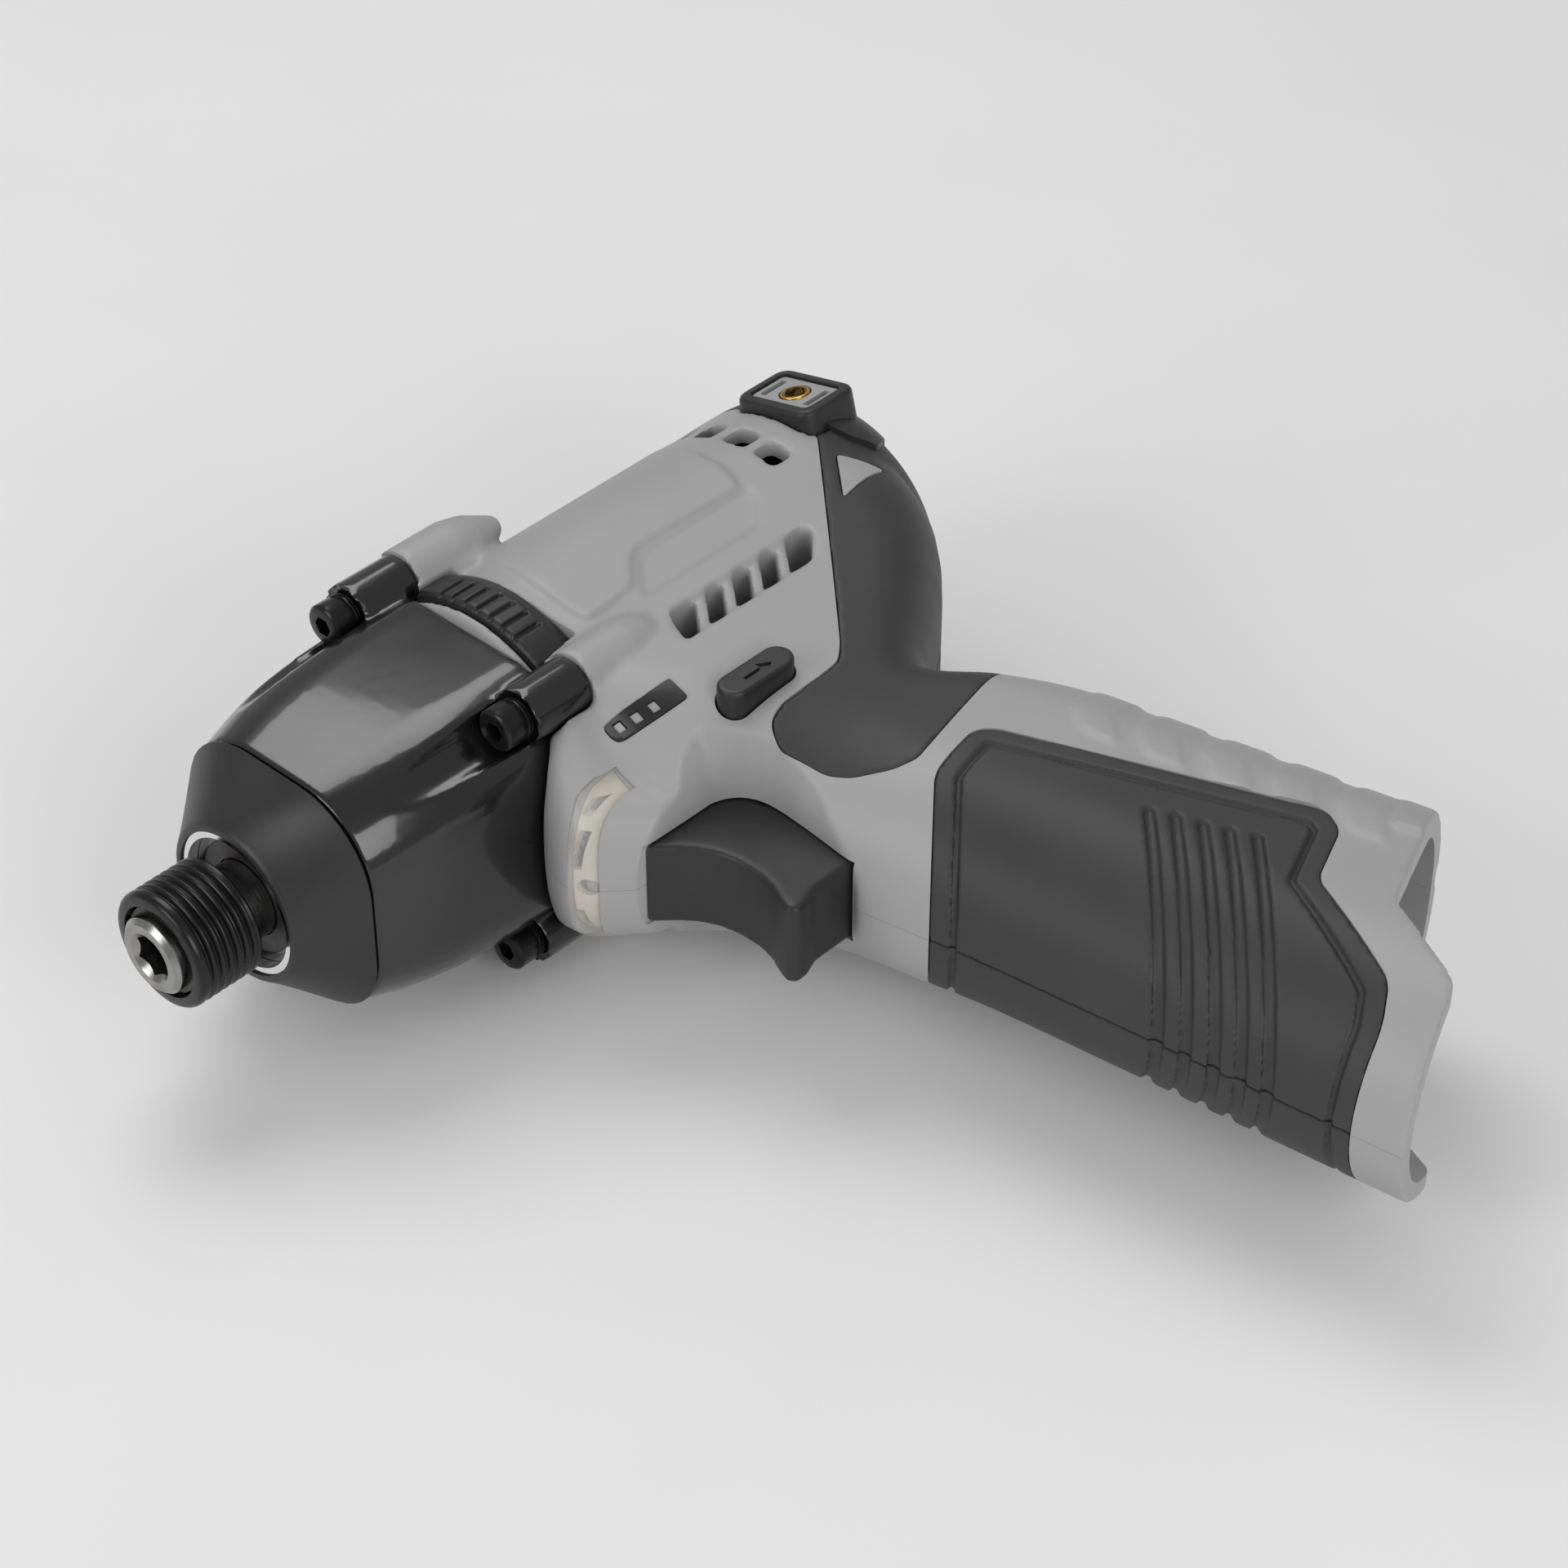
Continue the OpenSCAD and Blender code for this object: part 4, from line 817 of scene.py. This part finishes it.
# %% [markdown]
# The hammer case is a die casting with the plan of a square whose corners are very round. It is a loft along the
# spindle. Its four lugs are joined on before the softening, with a thicker post under each, so that they flow out of
# the wall. The bores come last and stay sharp, because they are machined after casting.


# %% Hammer case
def square_ring(x, half_width, radius):
    """One outline across the spindle."""
    return [(x, y, z) for y, z in rounded_box((-half_width, -half_width), (half_width, half_width), radius, 10)]


CORNER_R = 14
case_rows = [(-26.7, 20.0), (-33, 21.4), (-40, 22.5), (-48, 23.2), (-56, 23.55), (CASE_SEAM, 23.7)]
case = loft("case", [square_ring(x, half_width, CORNER_R) for x, half_width in flowing(case_rows, 3)])
ALL_LUGS = [(y, side * z) for y, z in LUGS for side in (1, -1)]
for y, z in ALL_LUGS:
    lug_root = [(-59.5, 0), (-59.5, 5), (CASE_SEAM, 5.4), (CASE_SEAM, 0)]
    carve(case, turned_at("lug", [(-58, 0), (-58, LUG_R), (LUG_END, LUG_R), (LUG_END, 0)], y, z), "UNION")
    carve(case, turned_at("lug_root", lug_root, y * 0.84, z * 0.84), "UNION")
for y, z in ALL_LUGS:
    carve(case, turned_at("channel", [(-30, 0), (-30, 4.4), (-58.6, 4.4), (-58.6, 0)], y, z))
soften(case, 0.5, 8)
carve(case, lathe("nose_cone", [(-19, 0), (-19, 11.6), (-26.7, 17.9), (-28, 17.9), (-28, 0)]), "UNION")
carve(case, lathe("spigot", [(-64, 0), (-64, 22.7), (-70, 22.7), (-70, 0)]), "UNION")
carve(case, lathe("bush_bore", [(-10, 0), (-10, 9.6), (-20, 9.6), (-20, 9.4), (-36, 9.4), (-36, 0)]))
carve(case, lathe("hammer_bore", [(-34.6, 0), (-34.6, 18.8), (-73, 18.8), (-73, 0)]))
for y, z in ALL_LUGS:
    carve(case, turned_at("seat", [(-50, 0), (-50, 4.2), (-58.4, 4.2), (-58.4, 2.2), (-80, 2.2), (-80, 0)], y, z))
put_in(case, "cast_hammer_case", "gloss_black", "base", "hammer_case")

# %% [markdown]
# The bumper on the nose starts round and ends as the same rounded square as the case. The collar is turned: a row of
# half-round rings, which is a cosine raised to a power along the profile.

# %% Nose cap and collar
cap_rows = [(-16.5, 13.0, 12.99), (-16.75, 13.5, 13.49), (-17.3, 13.9, 13.89), (-18.6, 14.9, 14.7),
            (-21, 16.7, 15.3), (-24, 18.8, 14.8), (-25.6, 19.9, 14.3), (-26.1, 20.2, 14.2), (-26.3, 20.1, 14.1)]
cap = loft("cap", [square_ring(*row) for row in cap_rows])
carve(cap, lathe("cap_inside", [(-18.9, 0), (-18.9, 11.7), (-26.6, 18), (-31.7, 18), (-31.7, 0)]))
carve(cap, lathe("cap_mouth", [(-10, 0), (-10, 12.6), (-16.8, 12.3), (-19, 12.3), (-19, 9.7), (-30, 9.7), (-30, 0)]))
put_in(cap, "moulded_nose_cap", "nose_rubber", "base", "nose_cap")

COLLAR_R = 9.8
RING_PITCH = 1.55
RING_DEPTH = 0.75
rings = []
for k in range(85):
    x = -3.1 - 0.115 * k
    rings.append((x, COLLAR_R - RING_DEPTH * (0.5 + 0.5 * math.cos(math.tau * (x + 3.95) / RING_PITCH)) ** 1.3))
profile = [(-1.8, 7.7), (-1.8, 9.0), (-1.95, 9.35), (-2.3, 9.65), (-2.7, 9.78)] + rings
profile += [(-13.2, 9.75), (-13.6, 9.5), (-13.8, 9.1), (-13.8, 8.3), (-12.6, 8.3), (-12.6, 6.44), (-9.2, 6.44),
            (-9.2, 7.7)]
put_in(lathe("collar", profile, 128), "turned_bit_collar", "black_steel", "bit_collar", "bit_collar", angle=45)

# %% [markdown]
# The trigger is one block with a hollow for the finger. It is drawn from the side, pulled to its width and softened
# until its edges are as round as a fingertip likes them. The selector is a bar through the whole housing, with a notch
# that lets the trigger pass.


# %% Trigger and selector
def joined(*pieces):
    """Makes one piece of several."""
    pick(*pieces)
    bpy.ops.object.join()
    return pieces[0]


PLUNGER_Y = 57.4
trigger_outline = [(-60.4, 38), (-81.4, 38), (-81.4, 48.1), (-85, 48.1), (-85, 66.7), (-72, 66.7), (-69.2, 67.8),
                   (-67, 68), (-65.9, 66.6), (-66.5, 64.6), (-68, 61.5), (-68.8, 58), (-68.8, 54.2), (-68, 50.6),
                   (-66.6, 47.6), (-64.6, 45.2), (-61.8, 42.4)]
trigger = prism("finger_block", trigger_outline, -TRIGGER_HALF, TRIGGER_HALF)
soften(trigger, 0.4, 22)
carve(trigger, prism("trim", [(-100, 30), (-50, 30), (-50, 41.9), (-100, 41.9)], -20, 20))
carve(trigger, turned_at("spring_room", [(-76, 0), (-76, 5), (-92, 5), (-92, 0)], PLUNGER_Y, 0))
carve(trigger, turned_at("stem", [(-74, 0), (-74, 2.5), (-98, 2.5), (-98, 0)], PLUNGER_Y, 0), "UNION")
put_in(trigger, "moulded_trigger", "black_plastic", "trigger", "trigger")

SELECTOR_TOP = 25.6
selector = pillow("bar", rounded_box((-94.5, 37.6), (-79.9, 42.9), 2.64, 10), -20.6, SELECTOR_TOP, 0.5, both=True)
carve(selector, prism("neck", [(-88.3, 36), (-70, 36), (-70, 48), (-88.3, 48)], -9.6, 16))
soften(selector, 0.28, 2)
arrow = [(-84.4, 40.3), (-88, 40.3), (-88, 39.3), (-90.2, 40.7), (-88, 42.1), (-88, 41.1), (-84.4, 41.1)]
carve(selector, prism("arrow", arrow, SELECTOR_TOP - 0.4, 30))
put_in(selector, "moulded_selector", "black_plastic", "direction_selector", "direction_selector")

# %% [markdown]
# The lamp looks out through a strip of clear plastic that follows the prow. Lens and reflector come from the prow
# itself, drawn in by different depths, so their walls are even all the way round. The reflector has three dark slots
# and an eye for the lamp's dome.

# %% Work light
LAMP_Y = 35.8
LAMP_R = 1.3
LAMP_X = -56.7
lens_strip = carve(prow_form(), prow_form(1.1))
carve(lens_strip, lens_zone(0), "INTERSECT")
soften(lens_strip, 0.24, 2)
put_in(lens_strip, "moulded_light_lens", "clear_lens", "base", "light_lens")

tray = carve(prow_form(1.35), prow_form(2.3))
carve(tray, lens_zone(0), "INTERSECT")
carve(tray, turned_at("eye", [(-40, 0), (-40, 1.5), (-70, 1.5), (-70, 0)], LAMP_Y, 0))
slot_half = 0.75
for low, high in ((3.2, 9.2), (10.8, 12.6), (-9, -5)):
    middle = 34.6 - 0.011 * (low + high) ** 2 / 4
    near, far = middle - slot_half, middle + slot_half
    tray_slot = [(near, low), (near, high), (far, high), (far, low)]
    carve(tray, prism("tray_slot", tray_slot, -70, -40, along="X"))
put_in(tray, "lamp_reflector", "reflector", "base", listed=False)
turns = [math.radians(a) for a in range(15, 90, 15)]
cap_of_lamp = [(LAMP_X + LAMP_R * math.sin(t), LAMP_R * math.cos(t)) for t in turns]
lamp = [(-60.6, 0), (-60.6, LAMP_R), (LAMP_X, LAMP_R)] + cap_of_lamp + [(LAMP_X + LAMP_R, 0)]
put_in(turned_at("lamp", lamp, LAMP_Y, 0), "lamp_dome", "clear_lens", "base")

# %% [markdown]
# Small pieces follow. Four socket screws hold the halves together, and go in from the right.

# %% Housing screws
housing_screws = []
for x, y in SCREWS:
    screw = pillow("screw", disc(x, y, 2.75), -13.8, -11.05, 0.35, both=True)
    carve(screw, prism("shank", disc(x, y, 1.45), -11.6, 5.6), "UNION")
    carve(screw, prism("socket", disc(x, y, 1.3, 6), -20, -12.3))
    housing_screws.append(screw)
put_in(joined(*housing_screws), "turned_housing_screws", "black_steel", "base", "housing_screws")

# %% [markdown]
# The pads are bent strips cut from a ring, with seven grooves that fan out from the spindle.

# %% Side pads
pad = lathe("pad", [(-67.7, 24.3), (-67.7, 26.1), (-68.4, 26.75), (-73.6, 26.75), (-75.7, 25.9), (-75.7, 24.3)], 180)
carve(pad, pad_width(0), "INTERSECT")
for k in range(7):
    groove = prism("groove", [(-60, -0.45), (-60, 0.45), (-73.4, 0.45), (-73.4, -0.45)], 26.05, 30)
    carve(pad, laid(groove, 6.0 * k - 18, (0, 0, 0)))
soften(pad, 0.25, 3)
put_in(joined(pad, other_side(pad)), "moulded_side_pads", "black_plastic", "base", "side_pads")

# %% [markdown]
# The belt clip's seat has a bevelled frame, a plate with two slots, a threaded brass insert, and thin wings that lie on
# the dome beside it. The wings are the dome itself, grown by the height of the wing.

# %% Belt clip seats
seat = pillow("seat", block(12.4, 17, 2.6), -6, 3.4, 0.9)
carve(seat, prism("plate_room", block(8.6, 13.4, 1.2), 1.4, 10))
carve(seat, prism("insert_hole", block(5.2, 5.2, 2.59), -7, 10))
laid(seat)
wing = sunk(body, -0.9)
fin = [(-141.4, 6), (-142.4, 10.4), (-143.4, 12.6), (-146.8, 15.2), (-151.4, 12.8), (-152.6, 6)]
clip_middle = -4
fins = prism("fin", [(x, clip_middle + y) for x, y in fin], 10, 40, 0.6)
carve(fins, prism("fin", [(x, clip_middle - y) for x, y in fin], 10, 40, 0.6), "UNION")
carve(wing, fins, "INTERSECT")
carve(wing, sunk(body, -0.05))
carve(wing, laid(prism("clear_seat", block(12.3, 16.9, 2.5), -20, 20)))
carve(seat, wing, "UNION")
put_in(joined(seat, other_side(seat)), "moulded_clip_frames", "black_plastic", "base", "clip_frames")

plate = pillow("plate", block(8.4, 13.2, 1.1), 1.4, 3.0, 0.3)
carve(plate, prism("plate_hole", block(5.6, 5.6, 2.79), 0, 9))
for y in (-4.9, 4.9):
    carve(plate, prism("plate_slot", [(-2.7, y - 0.65), (2.7, y - 0.65), (2.7, y + 0.65), (-2.7, y + 0.65)], 1.9, 9))
laid(plate)
put_in(joined(plate, other_side(plate)), "moulded_clip_plates", "grey_plastic", "base", "clip_plates")

brass = pillow("brass", block(5.1, 5.1, 2.549), -5.8, 3.2, 0.25)
carve(brass, prism("brass_bore", block(3.3, 3.3, 1.649), -7, 9))
carve(brass, pillow("countersink", block(4.1, 4.1, 2.049), 2.8, 9, 0.1))
laid(brass)
put_in(joined(brass, other_side(brass)), "turned_clip_inserts", "brass", "base", "clip_inserts")

# %% [markdown]
# Four more socket screws hold the case. Each has a split washer under its head, which shows as two thin coils. All
# four are turned from one profile, each at its own lug.

# %% Case screws
head = [(-53.2, 0), (-53.2, 2.9), (-53.35, 3.25), (-53.7, 3.5), (-56.9, 3.5), (-57.2, 3.3), (-57.2, 1.98),
        (-79, 1.98), (-79, 0)]
coils = [(-57.25, 2.1), (-57.25, 3.2), (-57.4, 3.4), (-57.65, 3.4), (-57.8, 3.1), (-57.95, 3.4), (-58.2, 3.4),
         (-58.35, 3.2), (-58.35, 2.1)]
case_screws, washers = [], []
for y, z in ALL_LUGS:
    screw = turned_at("screw", head, y, z)
    case_screws.append(carve(screw, prism("socket", disc(y, z, 1.73, 6), -55.4, -50, along="X")))
    washers.append(turned_at("washer", coils, y, z))
put_in(joined(*case_screws), "turned_case_screws", "black_steel", "base", "case_screws")
put_in(joined(*washers), "turned_spring_washers", "black_steel", "base", "spring_washers")

# %% [markdown]
# The charge gauge is a dark cover that follows the curved side, with three pale windows over a small board.

# %% Charge gauge
gauge = raised(sunk(body, -0.2), gauge_outline, 8, 0.3)
carve(gauge, sunk(body, 1.2))
panes = []
for x, y, run, drop in ((-68.8, 29.6, -1.0, 0.85), (-70.9, 31.2, -1.25, 0.7), (-73.5, 32.3, -1.3, 0.45)):
    spot = [(x + s * run, y + s * drop + t) for s, t in ((-0.5, -0.85), (0.5, -0.85), (0.5, 0.85), (-0.5, 0.85))]
    carve(gauge, prism("window", spot, 8, 40))
    pane = raised(sunk(body, 0.05), inset(spot, 0.05), 8, 0)
    panes.append(carve(pane, sunk(body, 1.0)))
put_in(gauge, "moulded_gauge_cover", "gauge_black", "base", "gauge_cover")
put_in(joined(*panes), "gauge_panes", "gauge_pane", "base", listed=False)
board_strip = raised(sunk(body, 1.3), inset(gauge_outline, 0.5), 8, 0)
put_in(carve(board_strip, sunk(body, 2.2)), "gauge_strip", "circuit_board", "base", "gauge_board")

# %% [markdown]
# The forms that the pieces were cut with have done their work. What is left is the solid model and the finished pieces.

# %% Clear the bench
kept = {piece.name for piece in nodes.values()} | set(finished)
for spare in [o for o in bpy.context.scene.objects if o.type == "MESH" and o.name not in kept]:
    bpy.data.objects.remove(spare)
print("finished pieces", len(finished))

# %% [markdown]
# The tool lies on its right side on a plain pale table, which is one large sheet. The world is white to the camera and
# dimmer as a source of light, so that the colours come out about as they are written.

# %% Table and light
bpy.ops.object.select_all(action="DESELECT")
bpy.ops.mesh.primitive_plane_add(size=6, location=(0, 0, cad_box[0].z - 0.2 * MM))
table = bpy.context.object
table.name = "table"
paper = Finish("table_white")
fibre = paper.noise(0.02, 2.0, 0.5)
paper.set(Base_Color=paper.blend(fibre, (0.86, 0.86, 0.86), (0.90, 0.90, 0.90)), Roughness=0.9,
          Specular_IOR_Level=0.0)
table.data.materials.append(paper.material)

world = bpy.data.worlds.new("studio")
bpy.context.scene.world = world
world.use_nodes = True
tree = world.node_tree
path = tree.nodes.new("ShaderNodeLightPath")
seen = tree.nodes.new("ShaderNodeMath")
seen.operation = "MAXIMUM"
tree.links.new(path.outputs["Is Camera Ray"], seen.inputs[0])
tree.links.new(path.outputs["Is Transmission Ray"], seen.inputs[1])
strength = tree.nodes.new("ShaderNodeMapRange")
strength.inputs["To Min"].default_value = 0.38
strength.inputs["To Max"].default_value = 1.0
tree.links.new(seen.outputs[0], strength.inputs["Value"])
tree.links.new(strength.outputs[0], tree.nodes["Background"].inputs["Strength"])
tree.nodes["Background"].inputs["Color"].default_value = (1, 1, 1, 1)


def softbox(name, at, size, watts):
    """A square studio lamp that faces the middle of the tool."""
    bpy.ops.object.light_add(type="AREA", location=at, rotation=(AIM - Vector(at)).to_track_quat("-Z", "Y").to_euler())
    box = bpy.context.object
    box.name = name
    box.data.size, box.data.energy = size, watts


softbox("key_light", (-0.25, -0.35, 0.75), 0.5, 2.5)
softbox("side_light", (0.75, -0.15, 0.45), 0.45, 2)
softbox("grip_light", (0.2, 0.8, 0.4), 0.5, 2.7)
bpy.context.scene.view_settings.view_transform = "Standard"
